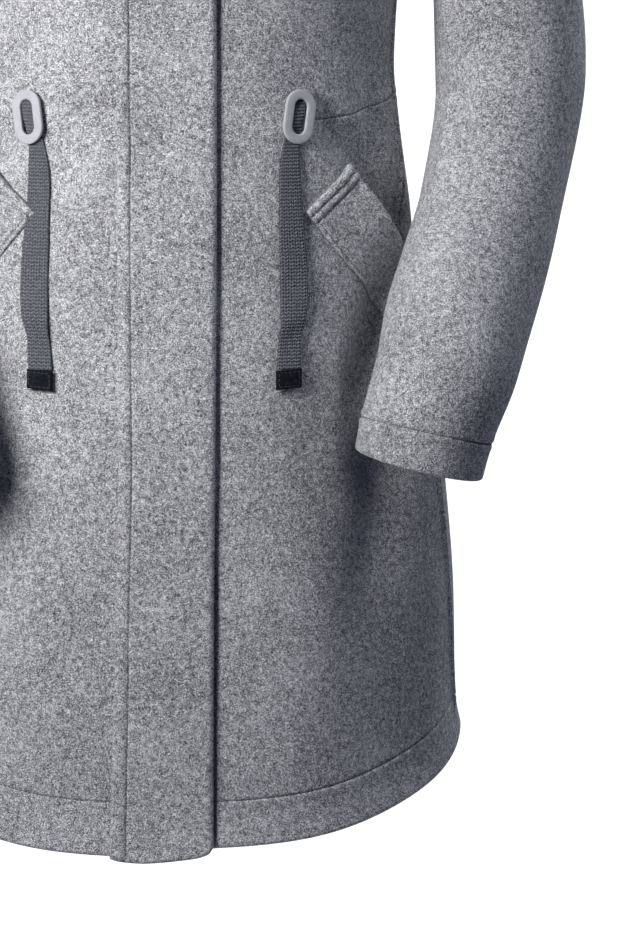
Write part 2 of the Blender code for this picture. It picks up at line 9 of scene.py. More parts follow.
import bpy
import numpy as np
from bpy.props import FloatProperty, FloatVectorProperty, PointerProperty
from mathutils import Vector
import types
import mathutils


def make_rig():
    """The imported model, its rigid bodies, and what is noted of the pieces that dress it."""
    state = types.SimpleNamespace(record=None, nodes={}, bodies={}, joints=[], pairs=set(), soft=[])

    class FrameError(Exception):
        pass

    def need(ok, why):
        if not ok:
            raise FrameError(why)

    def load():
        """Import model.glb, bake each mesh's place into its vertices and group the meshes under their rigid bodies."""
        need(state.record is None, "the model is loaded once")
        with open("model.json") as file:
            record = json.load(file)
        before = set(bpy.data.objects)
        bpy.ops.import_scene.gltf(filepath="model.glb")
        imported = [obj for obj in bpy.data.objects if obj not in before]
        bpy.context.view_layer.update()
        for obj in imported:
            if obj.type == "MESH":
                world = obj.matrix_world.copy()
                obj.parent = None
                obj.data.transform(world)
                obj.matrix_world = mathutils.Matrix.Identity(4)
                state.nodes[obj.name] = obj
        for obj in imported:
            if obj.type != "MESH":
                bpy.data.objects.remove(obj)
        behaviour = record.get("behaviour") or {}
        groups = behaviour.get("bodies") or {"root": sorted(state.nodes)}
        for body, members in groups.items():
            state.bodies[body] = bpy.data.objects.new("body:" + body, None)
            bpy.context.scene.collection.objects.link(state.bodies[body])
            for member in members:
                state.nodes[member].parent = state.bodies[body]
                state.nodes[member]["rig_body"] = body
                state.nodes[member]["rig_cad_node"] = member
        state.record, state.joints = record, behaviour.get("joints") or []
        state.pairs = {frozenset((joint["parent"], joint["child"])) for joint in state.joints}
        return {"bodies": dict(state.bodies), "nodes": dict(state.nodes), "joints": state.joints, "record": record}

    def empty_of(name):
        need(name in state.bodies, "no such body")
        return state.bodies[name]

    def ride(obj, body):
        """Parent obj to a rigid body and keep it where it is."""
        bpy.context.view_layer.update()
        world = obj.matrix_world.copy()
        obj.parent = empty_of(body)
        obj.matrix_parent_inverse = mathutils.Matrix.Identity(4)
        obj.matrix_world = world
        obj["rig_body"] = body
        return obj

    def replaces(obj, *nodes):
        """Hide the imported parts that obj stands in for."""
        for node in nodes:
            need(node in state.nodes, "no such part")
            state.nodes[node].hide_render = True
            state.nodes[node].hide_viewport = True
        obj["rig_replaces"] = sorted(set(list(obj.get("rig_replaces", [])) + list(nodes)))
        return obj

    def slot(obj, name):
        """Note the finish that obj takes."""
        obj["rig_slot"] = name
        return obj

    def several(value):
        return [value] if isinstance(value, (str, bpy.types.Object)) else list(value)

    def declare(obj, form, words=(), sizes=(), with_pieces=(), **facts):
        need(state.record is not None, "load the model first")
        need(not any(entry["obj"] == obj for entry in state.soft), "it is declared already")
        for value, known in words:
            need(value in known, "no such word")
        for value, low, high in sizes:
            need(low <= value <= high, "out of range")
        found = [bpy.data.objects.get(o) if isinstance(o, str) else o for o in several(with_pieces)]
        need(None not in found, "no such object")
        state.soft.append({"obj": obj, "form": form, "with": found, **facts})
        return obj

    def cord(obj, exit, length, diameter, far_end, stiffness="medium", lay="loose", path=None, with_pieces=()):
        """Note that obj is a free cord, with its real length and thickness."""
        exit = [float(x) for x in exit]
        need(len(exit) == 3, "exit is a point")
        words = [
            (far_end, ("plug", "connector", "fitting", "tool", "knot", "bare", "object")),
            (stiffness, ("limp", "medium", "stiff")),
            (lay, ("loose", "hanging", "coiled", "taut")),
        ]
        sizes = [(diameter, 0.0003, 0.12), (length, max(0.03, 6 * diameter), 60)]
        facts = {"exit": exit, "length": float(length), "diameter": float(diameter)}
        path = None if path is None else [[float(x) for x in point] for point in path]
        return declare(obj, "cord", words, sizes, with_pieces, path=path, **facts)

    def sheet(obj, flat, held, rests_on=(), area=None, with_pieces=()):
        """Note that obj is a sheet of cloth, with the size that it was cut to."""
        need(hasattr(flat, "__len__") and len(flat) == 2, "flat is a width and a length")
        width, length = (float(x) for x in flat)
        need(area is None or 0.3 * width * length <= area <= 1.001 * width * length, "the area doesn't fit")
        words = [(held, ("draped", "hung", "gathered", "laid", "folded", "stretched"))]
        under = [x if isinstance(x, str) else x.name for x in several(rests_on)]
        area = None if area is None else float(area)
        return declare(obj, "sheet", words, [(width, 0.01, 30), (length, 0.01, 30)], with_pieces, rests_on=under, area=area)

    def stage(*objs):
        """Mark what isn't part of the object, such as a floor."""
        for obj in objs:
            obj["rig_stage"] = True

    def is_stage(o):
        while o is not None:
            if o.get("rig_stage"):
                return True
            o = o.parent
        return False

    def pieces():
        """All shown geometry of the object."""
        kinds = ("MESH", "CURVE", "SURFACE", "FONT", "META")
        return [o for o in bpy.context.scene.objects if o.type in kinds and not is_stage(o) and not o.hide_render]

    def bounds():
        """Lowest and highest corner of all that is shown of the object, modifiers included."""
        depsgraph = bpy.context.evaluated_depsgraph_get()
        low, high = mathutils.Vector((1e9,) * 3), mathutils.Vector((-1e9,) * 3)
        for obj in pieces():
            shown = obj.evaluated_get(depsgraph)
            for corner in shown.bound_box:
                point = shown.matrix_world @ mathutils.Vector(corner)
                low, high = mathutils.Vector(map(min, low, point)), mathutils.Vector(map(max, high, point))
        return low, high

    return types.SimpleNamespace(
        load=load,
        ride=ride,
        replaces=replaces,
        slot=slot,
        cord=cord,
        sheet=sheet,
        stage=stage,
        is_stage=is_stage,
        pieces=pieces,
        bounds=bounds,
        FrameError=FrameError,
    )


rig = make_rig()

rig.load()
CAD_BOX = [list(corner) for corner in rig.bounds()]

bl_info = {
    "name": "Felt parka",
    "version": (1, 0, 0),
    "blender": (4, 5, 0),
    "location": "3D View > Sidebar > Parka",
    "description": "Felt, sewing, webbing and stage of a hooded parka",
    "category": "Object",
}


def table(fields, rows):
    """Rows of numbers with named fields."""
    named = namedtuple("Row", fields)
    return tuple(named(*row) for row in rows)


QUARTER = np.pi / 2
BLACK = (0, 0, 0)
WHITE = (1, 1, 1)

# Cloth
FELT = 0.0026
SEAM_GAP = 0.0003
LAYER_EASE = 0.003            # over this length two layers of felt ease to one
MOST_DROP = 0.47              # a rounded edge takes at most this share of the thickness
EDGES = {                     # radii that round off a piece's first and last row, first and last column
    "front": (0.0024, 0.0006, 0.0004, 0.0010),
    "back": (0.0024, 0.0006, 0.0010, 0.0010),
    "sleeve": (0.0008, 0.0024, 0.0001, 0.0001),
    "hood": (0.0006, 0.0012, 0.0006, 0.0006),
    "placket": (0.0023, 0.0006, 0.0016, 0.0015),
    "welt": (0.0016, 0.0012, 0.0008, 0.0012),
}

# Steps over which slopes are taken: radians, metres of height, rings of a sleeve, share of the hood
ANGLE_STEP = 1e-3
HEIGHT_STEP = 2e-4
RING_STEP = 0.02
ARM_STEP = 0.3                # rings, for the way that the arm runs
HOOD_STEP = 0.01
STITCH_STEP = 4e-4            # metres along a sewn line

# Sewn groove, and where the thread lies in it
GROOVE_HALF = 0.0007
SWELL_SHARE = 0.35            # height of the swell beside the groove, as a share of its depth
SWELL_PLACE = 0.0030
SWELL_WIDE = 0.0018
STITCH_SINK = 0.75            # depth of the thread, as a share of the groove's
WAIST_GROOVE = 1.2            # depths of the waist and cuff grooves, as shares of the usual one
CUFF_GROOVE = 1.5
CUFF_SINK = 0.8               # the cuff's thread lies at this share of the usual depth

# One stitch: rings along it, points round each, and the corners of its two end faces
STITCH_RINGS = 6
STITCH_SIDES = 6
STITCH_ENDS = ((5, 4, 3, 0), (3, 2, 1, 0), (30, 31, 32, 33), (30, 33, 34, 35))
STITCH_POINTED = 0.96         # how much of its section is gone at its ends
STITCH_DIP = 0.8              # how far its ends dip, in thicknesses of the thread

# Hem
HEM_FRONT = -0.9425
HEM_RISE = 0.0602
HEM_DEPTH = 0.032
HEM_KICK = 0.0045
HEM_KICK_HEIGHT = 0.034
HEM_KICK_MOST = 1.3           # below the hem line the kick grows no further than this
HEM_CURVE = 1.6
HEM_SIDE_ROUND = 0.06
HEM_FULLER = 0.0002           # the doubled hem stands out by this below its stitch
HEM_FULLER_OVER = 0.0016
HEM_STARTS = (0.15, 0.18)     # on the left and right front its stitch starts at this share
RIGHT_DROP = 0.005            # the right front hangs this much lower under the placket

# Neck, armholes and waist seam
NECK_SIDE = 0.078
NECK_FRONT = 0.094
NECK_BACK = 0.070
NECK_LOWEST = -0.14           # the neck edge is looked for from here up, by halving
NECK_HALVINGS = 40
UNDERARM = -0.220
SHOULDER_TIP = -0.045
ARMHOLE_FRONT = 0.060
ARMHOLE_BACK = 0.064
ARMHOLE_GAP = 0.0006
WAIST_SEAM = -0.4321          # height of the waist seam at centre front and centre back
WAIST_RISE = 0.0172           # how much higher it is at the side seam
WAIST_CURVE = 4               # power of its climb to there
WAIST_FROM = 0.095            # on the fronts it starts this far along the cloth from centre front
WAIST_START = 0.010           # and reaches its depth over this length

# Side seam, forward of the body's side below the armhole: degrees from centre front at a few heights
SIDE_SEAM = table("height angle", (
    (-0.910, 84),
    (-0.730, 78),
    (-0.450, 80),
    (UNDERARM, 90),
))

SIDE_RIDGE = 0.0020           # height of the pressed ridge along the side seam
SIDE_RIDGE_IN = 0.0016        # its distance from the edge
SIDE_RIDGE_WIDE = 0.0010
SIDE_RIDGE_FADE = 0.020       # it fades out over this height below the hem's stitch

# Rows of a body panel: heights above the hem edge, distances from a sewn line, and numbers of even rows
HEM_EDGE = (0.0, 0.0003, 0.0009, 0.0017, 0.0027, 0.0045)
BESIDE_SEAM = (0.0004, 0.0009, 0.0016, 0.0026, 0.0040, 0.0060)
HEM_ROWS = 8
SKIRT_ROWS = 96
CHEST_ROWS = 44
ARMHOLE_ROWS = 37
SHOULDER_ROWS = 13

# Columns of a front and of half the back, by share of the way to the side edge
FRONT_FIRST = np.linspace(0, 0.090, 5)
FRONT_TROUGH = (0.094, 0.154)
TROUGH_COLUMNS = 56
PLAIN_COLUMNS = 5             # in the same place on the right front, which has no trough
FRONT_INSIDE = np.linspace(0.168, 0.975, 47)
FRONT_RIDGE = (0.979, 0.983, 0.9865, 0.9895, 0.992, 0.994, 0.996, 0.998, 1.0)
BACK_INSIDE = np.linspace(0, 0.975, 50)
BACK_RIDGE = (0.981, 0.986, 0.990, 0.9925, 0.9945, 0.9965, 0.998, 1.0)
BACK_SHARES = np.linspace(-0.995, 0.995, 800)     # places of the back's sewn lines
HEM_SHARES = np.linspace(0, 0.995, 400)           # and of those on the fronts
WAIST_SHARES = np.linspace(0.58, 0.995, 300)

# Chart of the fronts: first and last place and number of its heights and distances, and its angles
CHART_HEIGHTS = (-0.965, 0.010, 391)
CHART_ACROSS = (-0.225, 0.225, 451)
CHART_REACH = 1.05 * QUARTER
CHART_ANGLES = 481

# Body, one row for each level section from below the hem to above the side neck point
BODY = table("height half_width front back squareness", (
    (-0.960, 0.2130, 0.1540, 0.151, 2.10),
    (-0.860, 0.2110, 0.1490, 0.146, 2.10),
    (-0.790, 0.2098, 0.1450, 0.141, 2.10),
    (-0.710, 0.2040, 0.1400, 0.135, 2.10),
    (-0.600, 0.1895, 0.1330, 0.127, 2.10),
    (-0.500, 0.1770, 0.1260, 0.117, 2.12),
    (-0.435, 0.1683, 0.1205, 0.108, 2.15),
    (-0.390, 0.1635, 0.1180, 0.103, 2.15),
    (-0.320, 0.1665, 0.1230, 0.102, 2.20),
    (-0.250, 0.1760, 0.1330, 0.106, 2.25),
    (-0.200, 0.1830, 0.1320, 0.110, 2.30),
    (-0.150, 0.1880, 0.1240, 0.112, 2.35),
    (-0.100, 0.1930, 0.1080, 0.107, 2.40),
    (-0.060, 0.1960, 0.0920, 0.096, 2.40),
    (-0.045, 0.1950, 0.0840, 0.089, 2.40),
    (-0.030, 0.1600, 0.0780, 0.079, 2.30),
    (-0.015, 0.1220, 0.0720, 0.069, 2.20),
    (0.000, 0.0850, 0.0660, 0.061, 2.10),
    (0.012, 0.0580, 0.0580, 0.052, 2.10),
))

# Broad folds, the same on both sides of the coat
FOLDS = table("angle height angle_spread height_spread rise", (
    (54, -0.450, 11, 0.034, -0.0026),
    (36, -0.800, 9, 0.160, 0.0030),
    (58, -0.760, 9, 0.170, -0.0026),
    (124, -0.790, 11, 0.170, 0.0034),
    (158, -0.760, 10, 0.180, -0.0030),
))

# Soft creases of the body cloth: angle from centre front in degrees, the wearer's left positive,
# slant in degrees from upright, a top leaning to the wearer's left positive
CREASES = table("angle height long wide slant rise", (
    (59, -0.715, 0.040, 0.016, 20, -0.0060),     # drawn in below the left cuff
    (62, -0.676, 0.018, 0.020, 15, -0.0120),     # where that cuff rests on the coat
    (62, -0.582, 0.046, 0.013, 20, -0.0130),     # beside the left sleeve
    (72, -0.745, 0.090, 0.026, 3, 0.0012),
    (38, -0.800, 0.060, 0.015, 12, 0.0012),
    (42, -0.640, 0.030, 0.014, 10, -0.0034),     # under the tab
    (28, -0.583, 0.040, 0.009, -3, 0.0012),
    (52, -0.441, 0.008, 0.014, 78, -0.0016),     # below the waist seam
    (50, -0.463, 0.010, 0.012, 65, 0.0013),
    (22, -0.462, 0.018, 0.010, 30, -0.0008),
    (64, -0.500, 0.034, 0.012, -46, 0.0024),     # the open edge of the left pocket standing out
    (69, -0.482, 0.046, 0.010, -46, -0.0110),
    (68, -0.432, 0.045, 0.012, -5, -0.0070),     # from the waist to that pocket
    (-24, -0.470, 0.040, 0.013, 38, 0.0034),
    (-34, -0.468, 0.034, 0.010, 38, -0.0020),
    (-36, -0.516, 0.020, 0.010, 30, -0.0024),
    (-30, -0.602, 0.030, 0.013, 25, 0.0012),
    (-26, -0.798, 0.030, 0.016, 35, -0.0026),
    (-21, -0.830, 0.034, 0.010, 42, 0.0016),
    (-58, -0.712, 0.044, 0.017, -18, -0.0054),
    (-62, -0.680, 0.018, 0.020, -15, -0.0110),
    (-62, -0.586, 0.048, 0.013, -20, -0.0120),
    (-64, -0.715, 0.040, 0.015, -10, 0.0024),
    (-53, -0.446, 0.009, 0.015, -75, -0.0018),
    (-64, -0.500, 0.032, 0.012, 46, 0.0026),     # the open edge of the right pocket
    (-69, -0.480, 0.044, 0.010, 46, -0.0100),
    (58, -0.268, 0.040, 0.011, 48, -0.0034),     # from the armholes towards the chest
    (50, -0.300, 0.034, 0.010, 40, 0.0016),
    (-57, -0.262, 0.044, 0.012, -45, -0.0036),
    (-48, -0.306, 0.030, 0.010, -36, 0.0014),
    (122, -0.272, 0.046, 0.012, -40, -0.0036),   # from the armholes towards the back
    (-124, -0.266, 0.042, 0.012, 42, -0.0034),
    (150, -0.405, 0.012, 0.018, 80, -0.0030),    # across the back of the waist
    (-154, -0.418, 0.011, 0.016, -84, -0.0026),
    (176, -0.372, 0.010, 0.022, 86, 0.0016),
    (140, -0.560, 0.070, 0.016, 8, 0.0026),
    (-138, -0.600, 0.080, 0.015, -6, 0.0024),
    (174, -0.700, 0.120, 0.018, 3, 0.0028),
    (108, -0.640, 0.070, 0.014, 12, -0.0024),
    (-106, -0.660, 0.060, 0.015, -15, -0.0022),
))
DEGREE = 0.0029               # metres of body cloth in one degree, about

# Left sleeve, one row for each ring from the armhole to the cuff end
SLEEVE = table("inner_x inner_z outer_x outer_z middle_y half_depth", (
    (0.1815, -0.2200, 0.1985, -0.0450, 0.002, 0.0620),
    (0.1860, -0.2320, 0.2220, -0.0520, 0.001, 0.0635),
    (0.1875, -0.2400, 0.2460, -0.0750, 0.000, 0.0635),
    (0.1885, -0.2520, 0.2640, -0.1180, -0.001, 0.0625),
    (0.1900, -0.2720, 0.2770, -0.1780, -0.003, 0.0610),
    (0.1915, -0.3050, 0.2890, -0.2500, -0.006, 0.0590),
    (0.1930, -0.3550, 0.2990, -0.3250, -0.011, 0.0560),
    (0.1935, -0.4100, 0.3030, -0.4010, -0.024, 0.0530),
    (0.1785, -0.4820, 0.2835, -0.5010, -0.060, 0.0510),
    (0.1650, -0.5250, 0.2667, -0.5520, -0.090, 0.0490),
    (0.1532, -0.5570, 0.2537, -0.5860, -0.115, 0.0475),
    (0.1455, -0.5920, 0.2415, -0.6200, -0.133, 0.0455),
    (0.1330, -0.6370, 0.2265, -0.6540, -0.143, 0.0435),
    (0.1290, -0.6590, 0.2190, -0.6810, -0.143, 0.0425),
))
LAST_RING = len(SLEEVE) - 1
CUFF_ROW = LAST_RING - 1
SEAM_ROWS = (0, 7, 10, 13)    # rings at which the front seam's turn round the arm is given
SEAM_TURNS = (40, 33, 43, 53)
BACK_SEAM = -120              # turn of the back seam
CUFF_LEAN = 0.05              # the cuff stitch climbs this share of a ring to its highest place
CUFF_LEAN_TURN = 20           # degrees round the arm to that place
CUFF_LEAN_OVER = 3            # the rows above it come to lean with it over this many rings
CUFF_POINTS = 300             # of its sewn line
SLEEVE_RIDGE = 0.0014         # height of the ridge along the sleeve seams
SLEEVE_RIDGE_WIDE = 0.0011

# Rows of a sleeve piece in rings, and its first columns as shares of its width
UPPER_ARM = 5                 # rows are even above this ring, and even again below it
UPPER_ROWS = 71
LOWER_ROWS = 86
BESIDE_CUFF = (0.02, 0.04, 0.07, 0.12, 0.20)
CUFF_STEPS = 6
CUFF_END = (0.10, 0.06, 0.035, 0.018, 0.006, 0.0)
SLEEVE_EDGE = (0.0, 0.004, 0.009, 0.015, 0.023, 0.033, 0.048)
UPPER_COLUMNS = 46            # even columns between those of the upper and the under piece
UNDER_COLUMNS = 38
RING_DEGREES = 35             # one ring's length on the unrolled sleeve, about, in degrees round the arm
CREASES_FROM = 0.6            # the creases set in at this ring, over the next rings, and end above the cuff
CREASES_OVER = 1.5
CREASES_END = 0.7

# Soft creases of a sleeve, by ring and degrees round the arm
SLEEVE_CREASES = table("ring turn rings_long wide slant rise", (
    (7.2, 150, 0.45, 14, 30, -0.0022),
    (7.9, 168, 0.50, 16, -26, -0.0020),
    (6.6, 190, 0.45, 15, 20, 0.0018),
    (7.6, 12, 0.30, 18, 55, -0.0024),
    (8.3, -14, 0.35, 16, 48, -0.0020),
    (6.9, -50, 0.40, 18, -40, -0.0022),
    (9.6, 104, 0.90, 15, 6, 0.0011),
    (10.6, 62, 0.70, 14, -8, 0.0007),
    (4.4, 95, 0.80, 16, 22, -0.0022),
    (3.0, 40, 0.70, 18, -25, -0.0026),
    (3.4, 150, 0.80, 20, 12, 0.0018),
    (5.4, -90, 0.90, 16, 10, -0.0018),
))

# Hood lying back: control points of its profile at a few turns from centre front, in degrees
HOOD = table("turn stand_r stand_z roll_r roll_z fall_r fall_z base_r base_z swell_r swell_z rim_r rim_z", (
    (0, 0.099, -0.045, 0.104, -0.022, 0.108, -0.008, 0.112, -0.004, 0.117, -0.002, 0.122, -0.001),
    (45, 0.090, 0.012, 0.104, 0.050, 0.118, 0.046, 0.130, 0.012, 0.148, 0.008, 0.150, 0.035),
    (90, 0.084, 0.050, 0.106, 0.082, 0.120, 0.030, 0.138, -0.028, 0.170, 0.010, 0.156, 0.055),
    (112, 0.082, 0.048, 0.107, 0.081, 0.128, 0.012, 0.158, -0.046, 0.200, -0.016, 0.172, 0.044),
    (135, 0.080, 0.045, 0.108, 0.078, 0.132, -0.030, 0.160, -0.185, 0.222, -0.070, 0.184, 0.022),
    (180, 0.074, 0.042, 0.102, 0.075, 0.113, -0.120, 0.138, -0.330, 0.214, -0.120, 0.160, 0.012),
))

# Soft creases of a hood half, by degrees from centre front and share of the way to the rim
HOOD_CREASES = table("turn along turn_spread along_spread rise", (
    (118, 0.34, 9, 0.10, -0.0030),
    (142, 0.42, 8, 0.14, 0.0026),
    (96, 0.30, 8, 0.09, 0.0022),
    (160, 0.72, 10, 0.10, -0.0030),
    (128, 0.78, 9, 0.09, 0.0024),
    (72, 0.26, 8, 0.10, -0.0018),
))

# Columns and rows of a hood half, the rows by share of the way to the rim, and its stitch
HOOD_COLUMNS = 92
HOOD_ROWS = np.linspace(0, 0.935, 88)
HOOD_RIM = (0.945, 0.955, 0.962, 0.967, 0.970, 0.973, 0.978, 0.985, 0.992, 0.996, 0.9985, 1.0)
HOOD_FADE = 0.4               # its creases fade out towards its seams, over this much of the turn's sine
RIM_STITCH = 0.010            # from the rim to its stitch

# Placket, in distance from centre front towards the wearer's left
PLACKET_THICK = 0.0048
PLACKET_LIFT = 0.0013         # how far its free edge stands off the coat
PLACKET_ACROSS = (-0.037, -0.033, -0.028, -0.018, 0.002, 0.018, 0.028, 0.0326)
PLACKET_BOTTOM = (-0.9495, -0.9510, -0.9518, -0.9525, -0.9510, -0.9495, -0.9470, -0.9420)
PLACKET_TAPER = 0.0044        # how far the free edge draws in at the hem
PLACKET_TAPER_FROM = -0.40    # height at which it starts to
PLACKET_LAP = PLACKET_ACROSS[-1]
PLACKET_SEWN = -0.005         # it lies on the coat from the sewn edge to here
PLACKET_TOP = 0.002           # from its top to the neck edge
PLACKET_STITCH = -0.0278      # stitch groove of the sewn edge
PLACKET_ROLL = -0.0322        # middle of the roll between that groove and the edge
PLACKET_ROLL_WIDE = 0.0026
PLACKET_SWELL = 0.0010        # how far the roll stands out
PLACKET_SOFT = 0.0046         # width of the soft fall to the free edge
PLACKET_FALL = 0.0026         # how far that falls
PLACKET_LEAN = 0.030          # how far the sewn edge leans outwards in a metre
PLACKET_LEAN_FROM = -0.680    # height below which it leans
PLACKET_WAVE = 0.0005         # how far the flap sways in and out along its length
PLACKET_WAVES = 23            # radians of that in a metre
PLACKET_WAVE_START = 1.2
PLACKET_PRESS = 0.0050        # depth of the trough that it presses into the left front beside its free edge
PRESS_PAST = 0.0004           # the trough's middle, past the free edge
PRESS_WIDE = 0.0009
PLACKET_THREAD_OUT = 0.0002
PLACKET_SEWN_COLUMNS = (0.0, 0.004, 0.010, 0.020, 0.035, 0.050, 0.065, 0.080, 0.092)
PLACKET_FREE_COLUMNS = (0.92, 0.935, 0.948, 0.960, 0.970, 0.978, 0.985, 0.991, 0.996, 1.0)
BESIDE_PLACKET_STITCH = (0.0003, 0.0007, 0.0012, 0.0020)
PLACKET_INSIDE = np.linspace(0.18, 0.90, 22)
PLACKET_ROWS = (0.0, 0.0003, 0.0008, 0.0015, 0.0024, 0.0040, *np.linspace(0.008, 0.995, 190), 0.998, 1.0)
PLACKET_SEWN_ROWS = np.linspace(0.004, 0.996, 400)    # places of its stitches

# Slanted welt pocket, placed by its inner corner at the sewn edge
WELT_ACROSS = 0.0975
WELT_HEIGHT = -0.4940
WELT_SLANT = 48
WELT_LONG = 0.125
WELT_WIDE = 0.0445
WELT_BULGE = -0.0045          # its open edge is hollow by this in the middle
WELT_BOW = 0.115              # length of that hollow
WELT_END = 0.0115             # the rolls of its short end reach this far along it
WELT_GROOVE = 0.0145          # its rows are close together up to here, and the stitch along it starts
WELT_ROLLS = table("middle half rise", ((0.0029, 0.0029, 0.0019), (0.0088, 0.0028, 0.0016)))
WELT_ROLL_STITCH = 0.0002     # from the first roll to its stitch
WELT_END_STITCH = 0.0006      # from the last roll to its stitch
WELT_PINCH = 0.0052           # between the stitches that pinch the first roll
WELT_PINCH_SHARE = 0.22
WELT_SEAM_THICK = 0.0010
WELT_OPEN_THICK = 0.0042
WELT_THICK_CURVE = 0.7        # power by which it thickens between its edges
WELT_THINNEST = 0.0006
WELT_PUFF = 0.0008            # how far it swells just inside its sewn edge
WELT_PUFF_OVER = 0.0024
WELT_STITCH = 0.0030          # from its sewn edge to the stitch along it
WELT_PULL = 0.9               # depth of its grooves, as a share of the usual one
WELT_THREAD_SINK = 0.4        # depth of the thread across its end, as a share of the usual groove
WELT_THREAD_OUT = 0.0006      # height of the thread along its sewn edge
WELT_BEAD = 0.0010            # height of the bead along its open edge
WELT_BEAD_IN = 0.0012
WELT_BEAD_OVER = 0.004        # length over which it sets in past the rolls
WELT_NARROW = 0.0008          # half width of the bead and of the groove across its end
WELT_SWING = 0.0090           # its lower end turns outwards over the crease below it
WELT_SWING_FROM = 0.045
WELT_SWING_OVER = 0.060
WELT_SWING_LESS = 0.6         # by how much less its open edge does so
WELT_GAPE = 0.0100            # how far its open edge stands off the coat
WELT_GAPE_LEAST = 0.3         # as a share of that at its short end
WELT_GAPE_EASE = 0.045        # length over which the gape grows, and goes
WELT_GAPE_END = 0.112
WELT_GAPE_CURVE = 1.6         # power by which it grows across the welt

# Rows of a welt in metres, its columns as shares of its width, and places of its stitches
WELT_TAIL = (0.003, 0.002, 0.0012, 0.0006, 0.0002, 0.0)
WELT_EDGE = (0.0, 0.006, 0.014, 0.026, 0.040, 0.050, 0.058, 0.067, 0.077, 0.090)
WELT_HEAD_ROWS = 38
WELT_ROW_STEP = 0.0035
WELT_INSIDE = np.linspace(0.11, 0.89, 40)
WELT_SEWN_ACROSS = np.linspace(0.05, 0.95, 60)
WELT_SEWN_ALONG = np.linspace(WELT_GROOVE, 0.97 * WELT_LONG, 80)

# Waist drawcord: flat webbing, oval keeper and end tab; tilt is its outer edge above its inner one
CORD_THICK = 0.0018
CORD = table("across height lift width tilt", (
    (0.0937, -0.4105, 0.0004, 0.0104, 0.0000),
    (0.0914, -0.4275, 0.0026, 0.0098, 0.0000),
    (0.0868, -0.4450, 0.0007, 0.0118, 0.0002),
    (0.0853, -0.4650, 0.0016, 0.0152, 0.0008),
    (0.0860, -0.5010, 0.0016, 0.0178, 0.0014),
    (0.0876, -0.5370, 0.0016, 0.0196, 0.0018),
    (0.0866, -0.5680, 0.0036, 0.0184, 0.0018),
    (0.0845, -0.5830, 0.0014, 0.0164, 0.0010),
    (0.0827, -0.6040, 0.0030, 0.0172, 0.0010),
))
CORD_SKEW = 0.6               # rows of the table by which its bend runs higher at the outer edge
CORD_WIDTH = 0.0172           # usual width of the webbing
RIGHT_CORD_SHIFT = 0.010
CORD_PATH_STEP = 20           # rows of the braid from one point of its stated path to the next
BRAID_COLUMNS = 10
BRAID_ROWS = 560
BRAID_LEAN = 0.62             # lean of a braid stitch, in its own lengths
BRAID_POINTS = 6              # points across one column of braid stitches
BRAID_ALONG = 0.8             # powers that round a braid stitch along and across the webbing
BRAID_ACROSS = 0.4
BRAID_BACK = 0.3              # share of its rise that shows on the back
CORD_SQUARE = 8               # power of the webbing's rounded edges
KEEPER_ACROSS = 0.0918
KEEPER_HEIGHT = -0.4270
KEEPER_LONG = 0.0390
KEEPER_WIDE = 0.0245
KEEPER_BAND = 0.0070
KEEPER_THICK = 0.0030
KEEPER_LEAN = 12
KEEPER_LIFT = 0.0029
KEEPER_SQUARE = 4.5           # power of its band's rounded section
KEEPER_TURNS = 112
KEEPER_SIDES = 28
TAB_WIDE = 0.0188
TAB_LEAN = 0.05               # its outer end is higher
TAB_LONG = 0.0135
TAB_THICK = 0.0034
TAB_ROUND = 0.0011
TAB_INSET = 0.0018            # from its edge to the stitched border
TAB_SUNK = 0.0003             # depth and half width of that border
TAB_THREAD_SINK = 0.00025
TAB_THREAD = (0.03, 0.032, 0.042)
TAB_EDGE = (0.0, 0.010, 0.025, 0.045, 0.07, 0.085, 0.10, 0.115, 0.13)
TAB_INSIDE = np.linspace(0.15, 0.85, 12)
TAB_SEWN = np.linspace(0, 1, 12)                  # places along each side of its border

# Each side of the coat: its label, its sign along X and how much farther out its drawcord hangs
SIDES = (("left", 1, 0.0), ("right", -1, RIGHT_CORD_SHIFT))

# Lie of the felt's fibres: turns about the three axes in degrees
FIBRE_TURNS = ((0, 14, 0), (0, 76, 0), (0, 133, 0), (25, 0, 90))

# Shares of light fibre at a few tones of the felt
FELT_TONES = ((0.18, 0.0), (0.36, 0.12), (0.50, 0.31), (0.64, 0.60), (0.82, 1.0))

# Camera and studio: bearings in degrees from straight ahead of the coat, the wearer's left positive
CAMERA_PLACE = (0.0, -2.73, -0.27)
CAMERA_YAW = 2.3126
CAMERA_PITCH = 7.1353
CAMERA_LENS = 141.797
CAMERA_SENSOR = 36.0
CAMERA_SHIFT = -0.12
LIGHT_AIM = (0.0, -0.10, -0.40)
LAMPS = table("name bearing climb distance size watts colour", (
    ("key", -42, 15, 1.00, 0.40, 14.4, (0.99, 0.985, 1.0)),
    ("top", 88, 58, 1.60, 1.00, 12.8, (0.93, 0.95, 1.0)),
    ("fill", 50, 30, 2.00, 2.40, 3.6, (0.80, 0.87, 1.0)),
    ("back_left", 150, 35, 2.4, 1.6, 34.0, (1.0, 1.0, 1.0)),
    ("back_right", -140, 25, 2.4, 1.6, 20.0, (0.92, 0.96, 1.0)),
))
FLOOR_HEIGHT = -1.42
FLOOR_RADIUS = 1.12
FLOOR_CORNERS = 96
FLOOR_GONE = 1.78             # from the origin to where the floor has faded out
FLOOR_WHOLE = 1.48            # and to where it starts to fade
WHITE_STRENGTH = 1.2          # of the white that the camera sees past the coat


def colour(name, description, default):
    """A colour that a user may change."""
    return FloatVectorProperty(name=name, description=description, subtype="COLOR", default=default,
                               min=0.0, max=1.0)


def size(name, description, default, low, high):
    """A length that a user may change, between its limits."""
    return FloatProperty(name=name, description=description, unit="LENGTH", default=default,
                         min=low, max=high)


